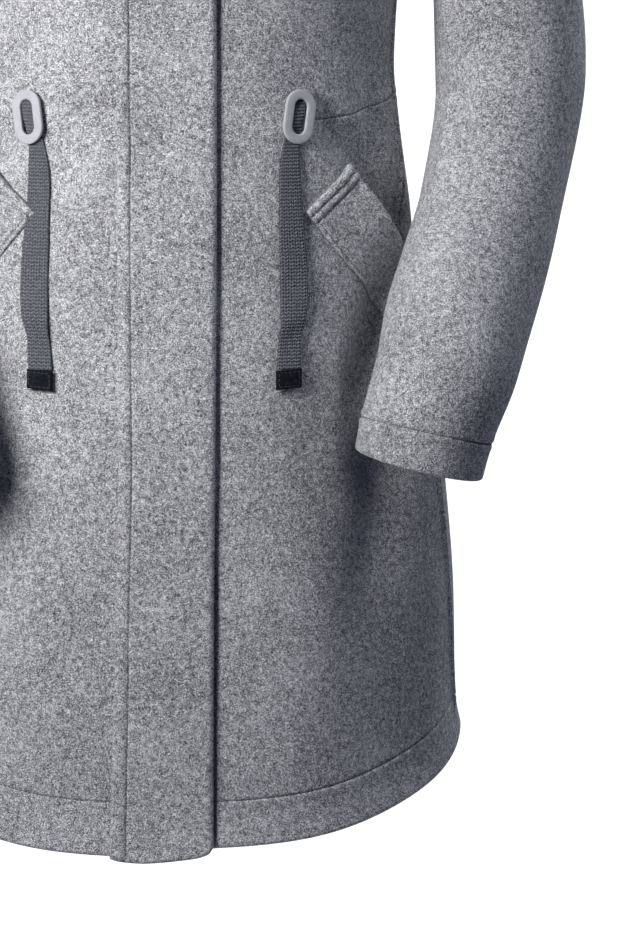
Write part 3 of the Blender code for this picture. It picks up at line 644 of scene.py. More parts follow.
class FeltLook(bpy.types.PropertyGroup):
    """Colours and nap of the felt."""
    light_fibre: colour("Light fibres", "Colour of the light wool fibres", (0.86, 0.865, 0.875))
    dark_fibre: colour("Dark fibres", "Colour of the dark wool fibres", (0.040, 0.041, 0.046))
    fleck: size("Fleck", "Size of one fleck of the heathered wool", 0.00055, 0.0002, 0.01)
    nap: size("Nap", "Height of the matted nap", 0.00030, 0.0, 0.002)


class SewingLook(bpy.types.PropertyGroup):
    """Stitches and the grooves that they pull into the felt."""
    stitch: size("Stitch", "Length of one stitch", 0.0029, 0.001, 0.01)
    pitch: size("Pitch", "From one stitch to the next", 0.0033, 0.001, 0.02)
    thread: size("Thread", "Thickness of the thread", 0.00050, 0.0001, 0.002)
    groove: size("Groove", "Depth of a sewn groove", 0.0008, 0.0, 0.002)
    thread_colour: colour("Thread colour", "Colour of the thread", (0.055, 0.058, 0.068))


class TrimLook(bpy.types.PropertyGroup):
    """Webbing, keepers and tabs."""
    webbing: colour("Webbing", "Colour of the braided webbing", (0.104, 0.108, 0.125))
    braid: size("Braid pitch", "Length of one braid stitch along the webbing", 0.00245, 0.0008, 0.01)
    braid_rise: size("Braid rise", "Height of one braid stitch", 0.0009, 0.0, 0.002)
    keeper: colour("Keeper", "Colour of the keepers", (0.43, 0.435, 0.455))
    tab: colour("Tab", "Colour of the end tabs", (0.004, 0.0045, 0.007))


class StageLook(bpy.types.PropertyGroup):
    """Studio light and floor."""
    light: FloatProperty(name="Light", description="Strength of all lamps, as a share",
                         subtype="FACTOR", default=1.0, min=0.0, max=4.0)
    fill: colour("Fill", "Colour of the dim light from all round", (0.002, 0.006, 0.040))
    floor: colour("Floor", "Colour of the floor", (0.86, 0.86, 0.87))


def column(rows, name):
    """One named column of a table as an array."""
    return np.array([getattr(row, name) for row in rows], float)


def smooth(at, knots, values):
    """Cubic through the knots that never overshoots them and holds its end values outside."""
    knots = np.asarray(knots, float)
    values = np.asarray(values, float)
    at = np.clip(np.asarray(at, float), knots[0], knots[-1])
    step = np.diff(knots)
    slope = np.diff(values) / step
    tangent = np.concatenate([slope[:1], np.zeros(len(slope) - 1), slope[-1:]])
    product = slope[:-1] * slope[1:]
    total = np.where(product > 0, slope[:-1] + slope[1:], 1.0)
    tangent[1:-1] = np.where(product > 0, 2 * product / total, 0.0)
    i = np.clip(np.searchsorted(knots, at, side="right") - 1, 0, len(step) - 1)
    t = (at - knots[i]) / step[i]
    start = values[i] * (1 + 2 * t) + tangent[i] * step[i] * t
    end = values[i + 1] * (3 - 2 * t) + tangent[i + 1] * step[i] * (t - 1)
    return start * (1 - t) ** 2 + end * t ** 2


def ease(value):
    """Smooth step from 0 to 1."""
    value = np.clip(value, 0.0, 1.0)
    return value * value * (3 - 2 * value)


def bell(value):
    """Bell curve, 1 in the middle."""
    return np.exp(-0.5 * value ** 2)


def unit(vector):
    """Vectors scaled to length one."""
    return vector / np.linalg.norm(vector, axis=-1, keepdims=True)


def body_size(height, name):
    """A body section size at a height."""
    return smooth(height, column(BODY, "height"), column(BODY, name))


def hem_height(angle):
    """Curved hem: lowest at centre front and back, highest at the side seams."""
    lean = np.hypot(np.cos(angle), HEM_SIDE_ROUND * np.sin(angle))
    return HEM_FRONT + HEM_RISE * np.maximum(1 - lean, 0.0) ** HEM_CURVE


def slanted(right, up, crease, wide, long):
    """Rise of one crease at places measured from its middle: a bell across its slanted line times a
    bell along it."""
    slant = np.radians(crease.slant)
    across = (right * np.cos(slant) - up * np.sin(slant)) / wide
    along = (right * np.sin(slant) + up * np.cos(slant)) / long
    return crease.rise * bell(across) * bell(along)


def relief(angle, height):
    """Outward shift of the body cloth: the hem's flip, the broad folds, then the creases."""
    above = np.clip(1 - (height - hem_height(angle)) / HEM_KICK_HEIGHT, 0.0, HEM_KICK_MOST)
    shift = HEM_KICK * above ** 2
    turn = np.degrees(np.arccos(np.clip(np.cos(angle), -1.0, 1.0)))
    for fold in FOLDS:
        across = (turn - fold.angle) / fold.angle_spread
        along = (height - fold.height) / fold.height_spread
        shift = shift + fold.rise * bell(across) * bell(along)
    signed = turn * np.where(np.sin(angle) < 0, -1, 1)
    for crease in CREASES:
        right = (signed - crease.angle) * DEGREE
        shift = shift + slanted(right, height - crease.height, crease, crease.wide, crease.long)
    return shift


def body_point(angle, height):
    """Outer face of the body: a superellipse section at the height, met at the angle, plus relief."""
    angle, height = np.broadcast_arrays(np.asarray(angle, float), np.asarray(height, float))
    power = body_size(height, "squareness")
    depth = np.where(np.cos(angle) > 0, body_size(height, "front"), body_size(height, "back"))
    across = np.abs(np.sin(angle)) / body_size(height, "half_width")
    along = np.abs(np.cos(angle)) / depth
    radius = (across ** power + along ** power) ** (-1 / power) + relief(angle, height)
    return np.stack([radius * np.sin(angle), -radius * np.cos(angle), height], axis=-1)


def body_normal(angle, height):
    """Outward normal of the body's outer face, from the cross product of its two slopes."""
    around = body_point(angle + ANGLE_STEP, height) - body_point(angle - ANGLE_STEP, height)
    upward = body_point(angle, height + HEIGHT_STEP) - body_point(angle, height - HEIGHT_STEP)
    return unit(np.cross(around, upward))


def neck_height(angle):
    """Height at which the body meets the neck oval, found by halving."""
    angle = np.asarray(angle, float)
    low = np.full(angle.shape, NECK_LOWEST)
    high = np.full(angle.shape, BODY[-1].height)
    for _ in range(NECK_HALVINGS):
        middle = (low + high) / 2
        x, y, _z = np.moveaxis(body_point(angle, middle), -1, 0)
        reach = np.where(y < 0, NECK_FRONT, NECK_BACK)
        outside = (x / NECK_SIDE) ** 2 + (y / reach) ** 2 > 1
        low = np.where(outside, middle, low)
        high = np.where(outside, high, middle)
    return (low + high) / 2


def side_x(height, y):
    """Half width of the body at a height and a distance to the front or back."""
    depth = np.where(y < 0, body_size(height, "front"), body_size(height, "back"))
    power = body_size(height, "squareness")
    return body_size(height, "half_width") * (1 - (np.abs(y) / depth) ** power) ** (1 / power)


def armhole_angle(height, reach):
    """Angle from centre front or back to the armhole edge; a right angle outside the armhole."""
    middle = (UNDERARM + SHOULDER_TIP) / 2
    half = (SHOULDER_TIP - UNDERARM) / 2
    y = reach * np.sqrt(np.clip(1 - ((height - middle) / half) ** 2, 0.0, 1.0))
    sign = -1 if reach == ARMHOLE_FRONT else 1
    return np.arctan2(side_x(height, sign * y), y)


def side_shift(height):
    """Angle from the body's side forward to the side seam."""
    return QUARTER - np.radians(smooth(height, column(SIDE_SEAM, "height"), column(SIDE_SEAM, "angle")))


def side_edge(height, reach, shift):
    """Angle from centre front or back to a panel's side edge: the armhole's, moved by the side seam's
    shift, less half the gap between two panels."""
    return armhole_angle(height, reach) + shift - SEAM_GAP / 2 / body_size(height, "half_width")


def front_angle(share, last):
    """Angles of a left front's columns, by share of the way to its edge and the row's height there."""
    first = SEAM_GAP / 2 / body_size(last, "front")
    return first + (side_edge(last, ARMHOLE_FRONT, -side_shift(last)) - first) * share


def back_angle(share, last):
    """Angles of the back's columns, by share of the way to its left edge and the row's height there."""
    return np.pi - side_edge(last, ARMHOLE_BACK, side_shift(last)) * share


def waist_height(share):
    """Height of the waist seam, by share of the way to the side seam: level, then climbing."""
    return WAIST_SEAM + WAIST_RISE * share ** WAIST_CURVE


def armhole_point(turn):
    """Edge of the left armhole; turn 0 is the underarm, pi the shoulder tip, 0 to pi the front."""
    height = (UNDERARM + SHOULDER_TIP) / 2 - (SHOULDER_TIP - UNDERARM) / 2 * np.cos(turn)
    reach = np.where(np.sin(turn) > 0, ARMHOLE_FRONT, ARMHOLE_BACK)
    y = -reach * np.sin(turn)
    return np.stack([side_x(height, y) + ARMHOLE_GAP, y, height], axis=-1)


class FrontChart:
    """Angles of the fronts by distance along the cloth from centre front and by height: a table of
    arc lengths along level lines, turned round by interpolation and read between its entries."""

    def __init__(self):
        self.heights = np.linspace(*CHART_HEIGHTS)
        self.across = np.linspace(*CHART_ACROSS)
        sweep = np.linspace(-CHART_REACH, CHART_REACH, CHART_ANGLES)
        length = lengths(body_point(sweep, self.heights[:, None]), 1)
        length = length - length[:, [CHART_ANGLES // 2]]
        self.angles = np.array([np.interp(self.across, row, sweep) for row in length])

    def angle(self, across, height):
        """Angle at a distance along the cloth, read between the table's four nearest entries."""
        i = (height - self.heights[0]) / (self.heights[1] - self.heights[0])
        j = (across - self.across[0]) / (self.across[1] - self.across[0])
        row = np.clip(np.floor(i).astype(int), 0, len(self.heights) - 2)
        place = np.clip(np.floor(j).astype(int), 0, len(self.across) - 2)
        up = np.clip(i - row, 0.0, 1.0)
        over = np.clip(j - place, 0.0, 1.0)
        low = self.angles[row, place] * (1 - over) + self.angles[row, place + 1] * over
        high = self.angles[row + 1, place] * (1 - over) + self.angles[row + 1, place + 1] * over
        return low * (1 - up) + high * up

    def lay(self, across, height, out):
        """Points on the fronts at a distance from centre front, moved out, and their normals."""
        across, height, out = np.broadcast_arrays(across, height, out)
        angle = self.angle(across, height)
        normal = body_normal(angle, height)
        return body_point(angle, height) + normal * out[..., None], normal


def lengths(points, axis):
    """Distance along one direction of a grid from its first line, summed over its steps."""
    step = np.linalg.norm(np.diff(points, axis=axis), axis=-1)
    pad = [(0, 0), (0, 0)]
    pad[axis] = (1, 0)
    return np.cumsum(np.pad(step, pad), axis=axis)


def spread(start, end, step):
    """Even places from start to end, about a step apart, without the two ends."""
    count = max(int(round(abs(end - start) / step)), 1)
    return np.linspace(start, end, count + 1)[1:-1]


def all_round(count):
    """Even angles once round."""
    return np.linspace(0, 2 * np.pi, count, endpoint=False)


def both_ways(steps):
    """Steps to both sides of a line, and the line itself."""
    steps = np.array(steps)
    return np.concatenate([-steps[::-1], [0.0], steps])


def framed(ends, inside):
    """Shares from 0 to 1: the same close steps in from both ends, and others inside them."""
    ends = np.array(ends)
    return np.concatenate([ends, inside, 1 - ends[::-1]])


def groove(distance, depth):
    """Sewn groove: a narrow trough on the line and a low swell on both sides of it."""
    trough = -depth * np.exp(-(distance / GROOVE_HALF) ** 2)
    return trough + SWELL_SHARE * depth * bell((np.abs(distance) - SWELL_PLACE) / SWELL_WIDE)


def rounding(distance, radius):
    """How far a face drops near an edge: a quarter circle of the radius."""
    inside = np.clip(radius - distance, 0.0, radius)
    return radius - np.sqrt(np.maximum(radius ** 2 - inside ** 2, 0.0))


def add_piece(name, points, quads, uv, finish):
    """One mesh object from arrays of points, quads and map coordinates, shaded smooth."""
    mesh = bpy.data.meshes.new(name)
    mesh.from_pydata(points.tolist(), [], quads.tolist())
    layer = mesh.uv_layers.new(name="cloth")
    layer.data.foreach_set("uv", uv[quads.ravel()].astype(np.float32).ravel())
    mesh.materials.append(finish)
    mesh.shade_smooth()
    made = bpy.data.objects.new(name, mesh)
    bpy.context.scene.collection.objects.link(made)
    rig.ride(made, "root")
    return made


def wall(name, outer, inner, uv, finish, turned):
    """A closed wall from two matching grids: both faces and a rim round their edge. Turned, its faces
    run the other way round."""
    rows, columns = outer.shape[:2]
    back = rows * columns
    index = np.arange(back).reshape(rows, columns)
    face = np.stack([index[:-1, :-1], index[:-1, 1:], index[1:, 1:], index[1:, :-1]], -1).reshape(-1, 4)
    rim = np.concatenate([index[0], index[1:, -1], index[-1, -2::-1], index[-2:0:-1, 0]])
    after = np.roll(rim, -1)
    edge = np.stack([after, rim, rim + back, after + back], -1)
    quads = np.concatenate([face, face[:, ::-1] + back, edge])
    points = np.concatenate([outer.reshape(-1, 3), inner.reshape(-1, 3)])
    flat = np.concatenate([uv.reshape(-1, 2)] * 2)
    return add_piece(name, points, quads[:, ::-1] if turned else quads, flat, finish)


def cloth(node, outer, normal, thick, kind, finish, held, turned):
    """One felt piece: a wall of the thickness behind a grid of points, its four edges rounded off by
    quarter circles, mapped in metres along the cloth and declared with the cut of what shows."""
    along = lengths(outer, 0)
    across = lengths(outer, 1)
    thick = np.broadcast_to(thick, along.shape)
    reach = (along, along[-1:] - along, across, across[:, -1:] - across)
    drop = np.maximum.reduce([rounding(far, radius) for far, radius in zip(reach, EDGES[kind])])
    drop = np.minimum(drop, MOST_DROP * thick)
    face = outer - normal * drop[..., None]
    back = outer - normal * (thick - drop)[..., None]
    uv = np.stack([across, along], -1)
    made = wall(node + "_felt", face, back, uv, finish, turned)
    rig.replaces(made, node)
    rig.slot(made, "felt")
    first = outer[1:, 1:] - outer[:-1, :-1]
    second = outer[1:, :-1] - outer[:-1, 1:]
    area = np.linalg.norm(np.cross(first, second), axis=-1).sum() / 2
    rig.sheet(made, flat=(across.max(), along.max()), held=held, area=area)
    return made


def panel_rows(share, drop, neck, hem_reach):
    """Heights of a body panel's rows at each column, close together at the hem edge, the hem stitch
    and the waist seam, even between them, and closing in on the armhole's ends above. Returns them
    with the heights of the hem stitch and the waist seam."""
    hem_line = hem_height(share * hem_reach)
    hem = hem_line - drop
    stitch = hem_line + HEM_DEPTH
    waist = waist_height(share)
    top = neck(share * QUARTER)
    edge = np.array(HEM_EDGE)[:, None]
    near = both_ways(BESIDE_SEAM)[:, None]

    def between(low, high, count):
        return low + (high - low) * np.linspace(0, 1, count)[1:-1, None]

    tip = (SHOULDER_TIP - UNDERARM) / (float(neck(QUARTER)) - UNDERARM)
    climb = (1 - np.cos(np.linspace(0, np.pi, ARMHOLE_ROWS))) / 2 * tip
    slope = np.linspace(tip, 1, SHOULDER_ROWS)[1:]
    above = UNDERARM + (top - UNDERARM) * np.concatenate([climb, slope])[:, None]
    rows = [hem + edge, between(hem + edge[-1], stitch + near[0], HEM_ROWS), stitch + near,
            between(stitch + near[-1], waist + near[0], SKIRT_ROWS), waist + near,
            between(waist + near[-1], above[0], CHEST_ROWS), above]
    return np.concatenate(rows), stitch, waist


def panel_relief(lines, from_waist, side_gap, depth):
    """Sewn relief of a body panel: hem groove and its fuller lower side, waist seam, side seam ridge."""
    height, stitch, waist = lines
    out = groove(height - stitch, depth) + HEM_FULLER * ease((stitch - height) / HEM_FULLER_OVER)
    out = out + groove(height - waist, WAIST_GROOVE * depth) * ease(from_waist / WAIST_START)
    ridge = SIDE_RIDGE * bell((side_gap - SIDE_RIDGE_IN) / SIDE_RIDGE_WIDE)
    return out + ridge * ease((height - stitch + SIDE_RIDGE_FADE) / SIDE_RIDGE_FADE)


def body_panel(node, kind, angle, lines, sewn, finish, turned):
    """One piece of the body: its face at a grid of angles and heights, moved out by the sewn relief, a
    function of distance along each row, and doubled in the turned-up hem."""
    height, stitch, _waist = lines
    outer = body_point(angle, height)
    normal = body_normal(angle, height)
    outer = outer + normal * sewn(lengths(outer, 1))[..., None]
    thick = FELT * (2 - ease((height - stitch) / LAYER_EASE))
    return cloth(node, outer, normal, thick, kind, finish, "hung", turned)


def front_panel(label, side, drop, finish, depth):
    """One front, from centre front to the side seam, armhole and shoulder seam; the left one has a
    trough beside the placket's free edge, a bell across it."""
    trough = np.linspace(*FRONT_TROUGH, TROUGH_COLUMNS if side > 0 else PLAIN_COLUMNS)
    share = np.concatenate([FRONT_FIRST, trough, FRONT_INSIDE, FRONT_RIDGE])
    lines = panel_rows(share, drop, neck_height, QUARTER - side_shift(HEM_FRONT))
    angle = side * front_angle(share, lines[0][:, -1:])

    def sewn(across):
        out = panel_relief(lines, across - WAIST_FROM, across[:, -1:] - across, depth)
        if side > 0:
            free = PLACKET_LAP - placket_taper(lines[0])
            out = out - PLACKET_PRESS * bell((across - free - PRESS_PAST) / PRESS_WIDE)
        return out

    return body_panel("front_" + label, "front", angle, lines, sewn, finish, side < 0)


def back_panel(finish, depth):
    """The back, one piece from side seam to side seam."""
    half = np.concatenate([BACK_INSIDE, BACK_RIDGE])
    share = np.concatenate([-half[:0:-1], half])
    hem_reach = QUARTER + side_shift(HEM_FRONT)
    lines = panel_rows(np.abs(share), 0.0, lambda turn: neck_height(np.pi - turn), hem_reach)

    def sewn(across):
        gap = np.minimum(across, across[:, -1:] - across)
        return panel_relief(lines, np.ones_like(across), gap, depth)

    return body_panel("back", "back", back_angle(share, lines[0][:, -1:]), lines, sewn, finish, True)


def sleeve_column(row, name):
    """A sleeve ring size at a place between two rows of the table."""
    return smooth(row, np.arange(len(SLEEVE)), column(SLEEVE, name))


def sleeve_ends(row):
    """Inner and outer points of a sleeve ring, on its middle plane."""
    middle = sleeve_column(row, "middle_y")
    inner = np.stack([sleeve_column(row, "inner_x"), middle, sleeve_column(row, "inner_z")], -1)
    outer = np.stack([sleeve_column(row, "outer_x"), middle, sleeve_column(row, "outer_z")], -1)
    return inner, outer


def sleeve_ring(row, turn):
    """Ellipse rings square to the arm; turn 0 is the side next to the body."""
    row, turn = np.broadcast_arrays(np.asarray(row, float), np.asarray(turn, float))
    inner, outer = sleeve_ends(row)
    before = sum(sleeve_ends(np.clip(row - ARM_STEP, 0, LAST_RING))) / 2
    after = sum(sleeve_ends(np.clip(row + ARM_STEP, 0, LAST_RING))) / 2
    middle = (inner + outer) / 2
    wide = outer - inner
    forward = unit(np.cross(after - before, wide))
    depth = sleeve_column(row, "half_depth")[..., None]
    return middle - wide / 2 * np.cos(turn)[..., None] + forward * depth * np.sin(turn)[..., None]


def sleeve_point(row, turn):
    """Outer face of the left sleeve: its rings, with the first one moved onto the armhole."""
    shift = armhole_point(turn) - sleeve_ring(np.zeros_like(turn), turn)
    return sleeve_ring(row, turn) + shift * (1 - ease(row))[..., None]


def sleeve_normal(row, turn):
    """Outward normal of the left sleeve, from the cross product of its two slopes."""
    along = sleeve_point(np.clip(row + RING_STEP, 0, LAST_RING), turn)
    along = along - sleeve_point(np.clip(row - RING_STEP, 0, LAST_RING), turn)
    around = sleeve_point(row, turn + ANGLE_STEP) - sleeve_point(row, turn - ANGLE_STEP)
    return unit(np.cross(along, around))


def sleeve_relief(row, turn):
    """Creases of a sleeve on the unrolled cloth, fading out towards the armhole and the cuff."""
    degrees = np.degrees(turn)
    shift = 0.0
    for crease in SLEEVE_CREASES:
        round_arm = (degrees - crease.turn + 180) % 360 - 180
        down = (row - crease.ring) * RING_DEGREES
        shift = shift + slanted(round_arm, down, crease, crease.wide, crease.rings_long * RING_DEGREES)
    return shift * ease((row - CREASES_FROM) / CREASES_OVER) * ease((CUFF_ROW - row) / CREASES_END)


def sleeve_seam(row):
    """Turn of the front seam at a ring."""
    return np.radians(smooth(row, SEAM_ROWS, SEAM_TURNS))


def cuff_row(turn):
    """Place of the cuff stitch along the rings, leaning round the arm."""
    return CUFF_ROW - CUFF_LEAN * np.cos(turn - np.radians(CUFF_LEAN_TURN))


def sleeve_piece(label, side, under, finish, depth):
    """Upper or under piece of a two-piece sleeve, its cuff turned up inside and stitched."""
    end = LAST_RING - np.array(CUFF_END)
    reach = BESIDE_CUFF[-1]
    rows = np.concatenate([np.linspace(0, UPPER_ARM, UPPER_ROWS)[:-1],
                           np.linspace(UPPER_ARM, CUFF_ROW - reach, LOWER_ROWS)[:-1],
                           CUFF_ROW + both_ways(BESIDE_CUFF),
                           np.linspace(CUFF_ROW + reach, end[0], CUFF_STEPS)[1:-1], end])
    seam = sleeve_seam(rows)
    back_seam = np.full(len(rows), np.radians(BACK_SEAM))
    if under:
        start, stop, columns = back_seam, seam, UNDER_COLUMNS
    else:
        start, stop, columns = seam, back_seam + 2 * np.pi, UPPER_COLUMNS
    last = SLEEVE_EDGE[-1]
    share = framed(SLEEVE_EDGE[:-1], np.linspace(last, 1 - last, columns))
    turn = start[:, None] + (stop - start)[:, None] * share
    near_cuff = np.interp(rows, (CUFF_ROW - CUFF_LEAN_OVER, CUFF_ROW, LAST_RING), (0, 1, 0))[:, None]
    row = rows[:, None] + (cuff_row(turn) - CUFF_ROW) * near_cuff
    outer = sleeve_point(row, turn)
    normal = sleeve_normal(row, turn)
    down = lengths(outer, 0)
    cuff = down[np.searchsorted(rows, CUFF_ROW)]
    across = lengths(outer, 1)
    from_seam = np.minimum(across, across[:, -1:] - across)
    ridge = SLEEVE_RIDGE * bell(from_seam / SLEEVE_RIDGE_WIDE)
    sewn = groove(down - cuff, CUFF_GROOVE * depth)
    outer = outer + normal * (sleeve_relief(row, turn) + sewn + ridge)[..., None]
    thick = FELT * (1 + ease((down - cuff + LAYER_EASE) / LAYER_EASE))
    mirror = np.array((side, 1, 1))
    node = f"sleeve_{label}_{'under' if under else 'upper'}"
    return cloth(node, outer * mirror, normal * mirror, thick, "sleeve", finish, "hung", side > 0)


def spline_weights(at, count):
    """Weights of a clamped cubic spline's control points at places from 0 to 1."""
    inside = np.linspace(0, 1, count - 2)
    knots = np.concatenate([[0, 0, 0], inside, [1, 1, 1]])
    at = np.clip(at, 0, 1 - 1e-9)[:, None]
    weights = ((at >= knots[:-1]) & (at < knots[1:])).astype(float)
    for degree in range(1, 4):
        span = knots[degree:] - knots[:-degree]
        span = np.where(span > 0, span, np.inf)
        left = (at - knots[:-degree - 1]) / span[:-1]
        right = (knots[degree + 1:] - at) / span[1:]
        weights = left * weights[:, :-1] + right * weights[:, 1:]
    return weights


def hood_point(turn, along):
    """Outside of the hood: at each turn a spline from the neck seam over the roll to the rim."""
    turns = column(HOOD, "turn")
    wide = np.concatenate([-turns[1:2], turns, 360 - turns[-2:-1]])
    seam = body_point(turn, neck_height(turn))
    control = [np.stack([np.hypot(seam[:, 0], seam[:, 1]), seam[:, 2] + 2 * SEAM_GAP], -1)]
    for name in ("stand", "roll", "fall", "base", "swell", "rim"):
        pair = []
        for part in ("_r", "_z"):
            values = column(HOOD, name + part)
            values = np.concatenate([values[1:2], values, values[-2:-1]])
            pair.append(smooth(np.degrees(turn), wide, values))
        control.append(np.stack(pair, -1))
    profile = np.einsum("ac,ctk->atk", spline_weights(along, len(control)), np.array(control))
    radius, height = profile[..., 0], profile[..., 1]
    return np.stack([radius * np.sin(turn), -radius * np.cos(turn), height], -1)


def hood_half(label, side, finish, depth):
    """One half of the hood, from centre front round to the seam at centre back, its rim stitched."""
    gap = SEAM_GAP / 2
    turn = np.linspace(gap / NECK_FRONT, np.pi - gap / NECK_BACK, HOOD_COLUMNS)
    along = np.concatenate([HOOD_ROWS, HOOD_RIM])
    outer = hood_point(turn, along)
    before = hood_point(turn, np.clip(along - HOOD_STEP, 0, 1))
    after = hood_point(turn, np.clip(along + HOOD_STEP, 0, 1))
    around = hood_point(turn + 2 * ANGLE_STEP, along) - hood_point(turn - 2 * ANGLE_STEP, along)
    normal = unit(np.cross(around, after - before))
    normal[:, [0, -1], 0] = 0
    normal[0, :, 2] = 0
    normal = unit(normal)
    shift = np.zeros(outer.shape[:2])
    for crease in HOOD_CREASES:
        across = (np.degrees(turn) - crease.turn) / crease.turn_spread
        down = (along[:, None] - crease.along) / crease.along_spread
        shift = shift + crease.rise * bell(across) * bell(down)
    from_rim = lengths(outer, 0)[-1:] - lengths(outer, 0)
    shift = shift * ease(np.sin(turn) / HOOD_FADE) + groove(from_rim - RIM_STITCH, depth)
    outer = outer + normal * shift[..., None]
    mirror = np.array((side, 1, 1))
    return cloth("hood_" + label, outer * mirror, normal * mirror, FELT, "hood", finish, "folded", side < 0)


def placket_taper(height):
    """How far the free edge draws in: a smooth step from the waist down to the hem."""
    return PLACKET_TAPER * ease((PLACKET_TAPER_FROM - height) / (PLACKET_TAPER_FROM - HEM_FRONT))


def placket_place(share, part):
    """Distance from centre front and height on the placket, by share of its width and height."""
    across = PLACKET_ACROSS[0] + (PLACKET_ACROSS[-1] - PLACKET_ACROSS[0]) * share
    bottom = smooth(across, PLACKET_ACROSS, PLACKET_BOTTOM)
    top = neck_height(across / NECK_FRONT) - PLACKET_TOP
    height = bottom + (top - bottom) * part
    lean = PLACKET_LEAN * np.maximum(PLACKET_LEAN_FROM - height, 0)
    across = across - lean * np.clip(across / PLACKET_ACROSS[0], 0, 1)
    across = across - placket_taper(height) * np.clip(across / PLACKET_LAP, 0, 1)
    return across, height


def placket_piece(chart, finish, depth):
    """Doubled flap over the closing: a stitched roll along its sewn edge and a free edge stood off."""
    wide = PLACKET_ACROSS[-1] - PLACKET_ACROSS[0]
    stitch = (PLACKET_STITCH - PLACKET_ACROSS[0] + both_ways(BESIDE_PLACKET_STITCH)) / wide
    share = np.concatenate([PLACKET_SEWN_COLUMNS, stitch, PLACKET_INSIDE, PLACKET_FREE_COLUMNS])
    across, height = placket_place(share, np.array(PLACKET_ROWS)[:, None])
    lift = SEAM_GAP + PLACKET_LIFT * ease((across - PLACKET_SEWN) / (PLACKET_LAP - PLACKET_SEWN))
    flat = PLACKET_ACROSS[0] + wide * share
    roll = PLACKET_SWELL * bell((flat - PLACKET_ROLL) / PLACKET_ROLL_WIDE)
    roll = roll - PLACKET_FALL * (1 - np.clip((1 - share) * wide / PLACKET_SOFT, 0, 1)) ** 2
    wave = PLACKET_WAVE * np.sin(height * PLACKET_WAVES + PLACKET_WAVE_START) * np.sin(share * np.pi)
    out = lift + PLACKET_THICK + roll + wave + groove(flat - PLACKET_STITCH, depth)
    outer, normal = chart.lay(across, height, out)
    under, _ = chart.lay(across, height, lift)
    thick = np.linalg.norm(outer - under, axis=-1)
    return cloth("placket", outer, normal, thick, "placket", finish, "hung", False)


def welt_place(side, long, wide):
    """Signed distance from centre front and height on a welt, by place along and share across."""
    slant = np.radians(WELT_SLANT)
    reach = wide * (WELT_WIDE + WELT_BULGE * np.sin(np.pi * np.clip(long / WELT_BOW, 0, 1)))
    swing = WELT_SWING * ease((long - WELT_SWING_FROM) / WELT_SWING_OVER) * (1 - WELT_SWING_LESS * wide)
    across = WELT_ACROSS + long * np.cos(slant) + reach * np.sin(slant) + swing
    height = WELT_HEIGHT - long * np.sin(slant) + reach * np.cos(slant)
    return side * across, height


def welt_thick(wide):
    """Thickness of a plain welt by share across, growing from its sewn edge to its open edge."""
    return WELT_SEAM_THICK + (WELT_OPEN_THICK - WELT_SEAM_THICK) * wide ** WELT_THICK_CURVE


def welt_piece(chart, label, side, finish, depth):
    """Slanted pocket welt: two rolls across its short end, sewn flat below and thicker at its open edge,
    which stands off the coat."""
    head = np.linspace(0, WELT_GROOVE, WELT_HEAD_ROWS)
    tail = np.array(WELT_TAIL)
    inside = spread(WELT_GROOVE, WELT_LONG - tail[0], WELT_ROW_STEP)
    long = np.concatenate([head, inside, WELT_LONG - tail])[:, None]
    wide = framed(WELT_EDGE, WELT_INSIDE)
    across, height = welt_place(side, long, wide)
    from_seam = wide * WELT_WIDE
    from_open = (1 - wide) * WELT_WIDE
    thick = welt_thick(wide) + WELT_PUFF * ease(from_seam / WELT_PUFF_OVER)
    thick = thick + groove(from_seam - WELT_STITCH, WELT_PULL * depth)
    pinch = 1 + WELT_PINCH_SHARE * np.cos(2 * np.pi * from_seam / WELT_PINCH)
    for roll in WELT_ROLLS:
        bow = np.sqrt(np.clip(1 - ((long - roll.middle) / roll.half) ** 2, 0, 1))
        thick = thick + roll.rise * pinch * bow
        pinch = 1
    thick = thick - WELT_PULL * depth * bell((long - WELT_END - WELT_END_STITCH) / WELT_NARROW)
    bead = WELT_BEAD * bell((from_open - WELT_BEAD_IN) / WELT_NARROW)
    thick = np.maximum(thick + bead * ease((long - WELT_END) / WELT_BEAD_OVER), WELT_THINNEST)
    grow = WELT_GAPE_LEAST + (1 - WELT_GAPE_LEAST) * ease(long / WELT_GAPE_EASE)
    gape = WELT_GAPE * wide ** WELT_GAPE_CURVE * grow * ease((WELT_GAPE_END - long) / WELT_GAPE_EASE)
    outer, normal = chart.lay(across, height, SEAM_GAP + gape + thick)
    return cloth("pocket_welt_" + label, outer, normal, thick, "welt", finish, "laid", side > 0)


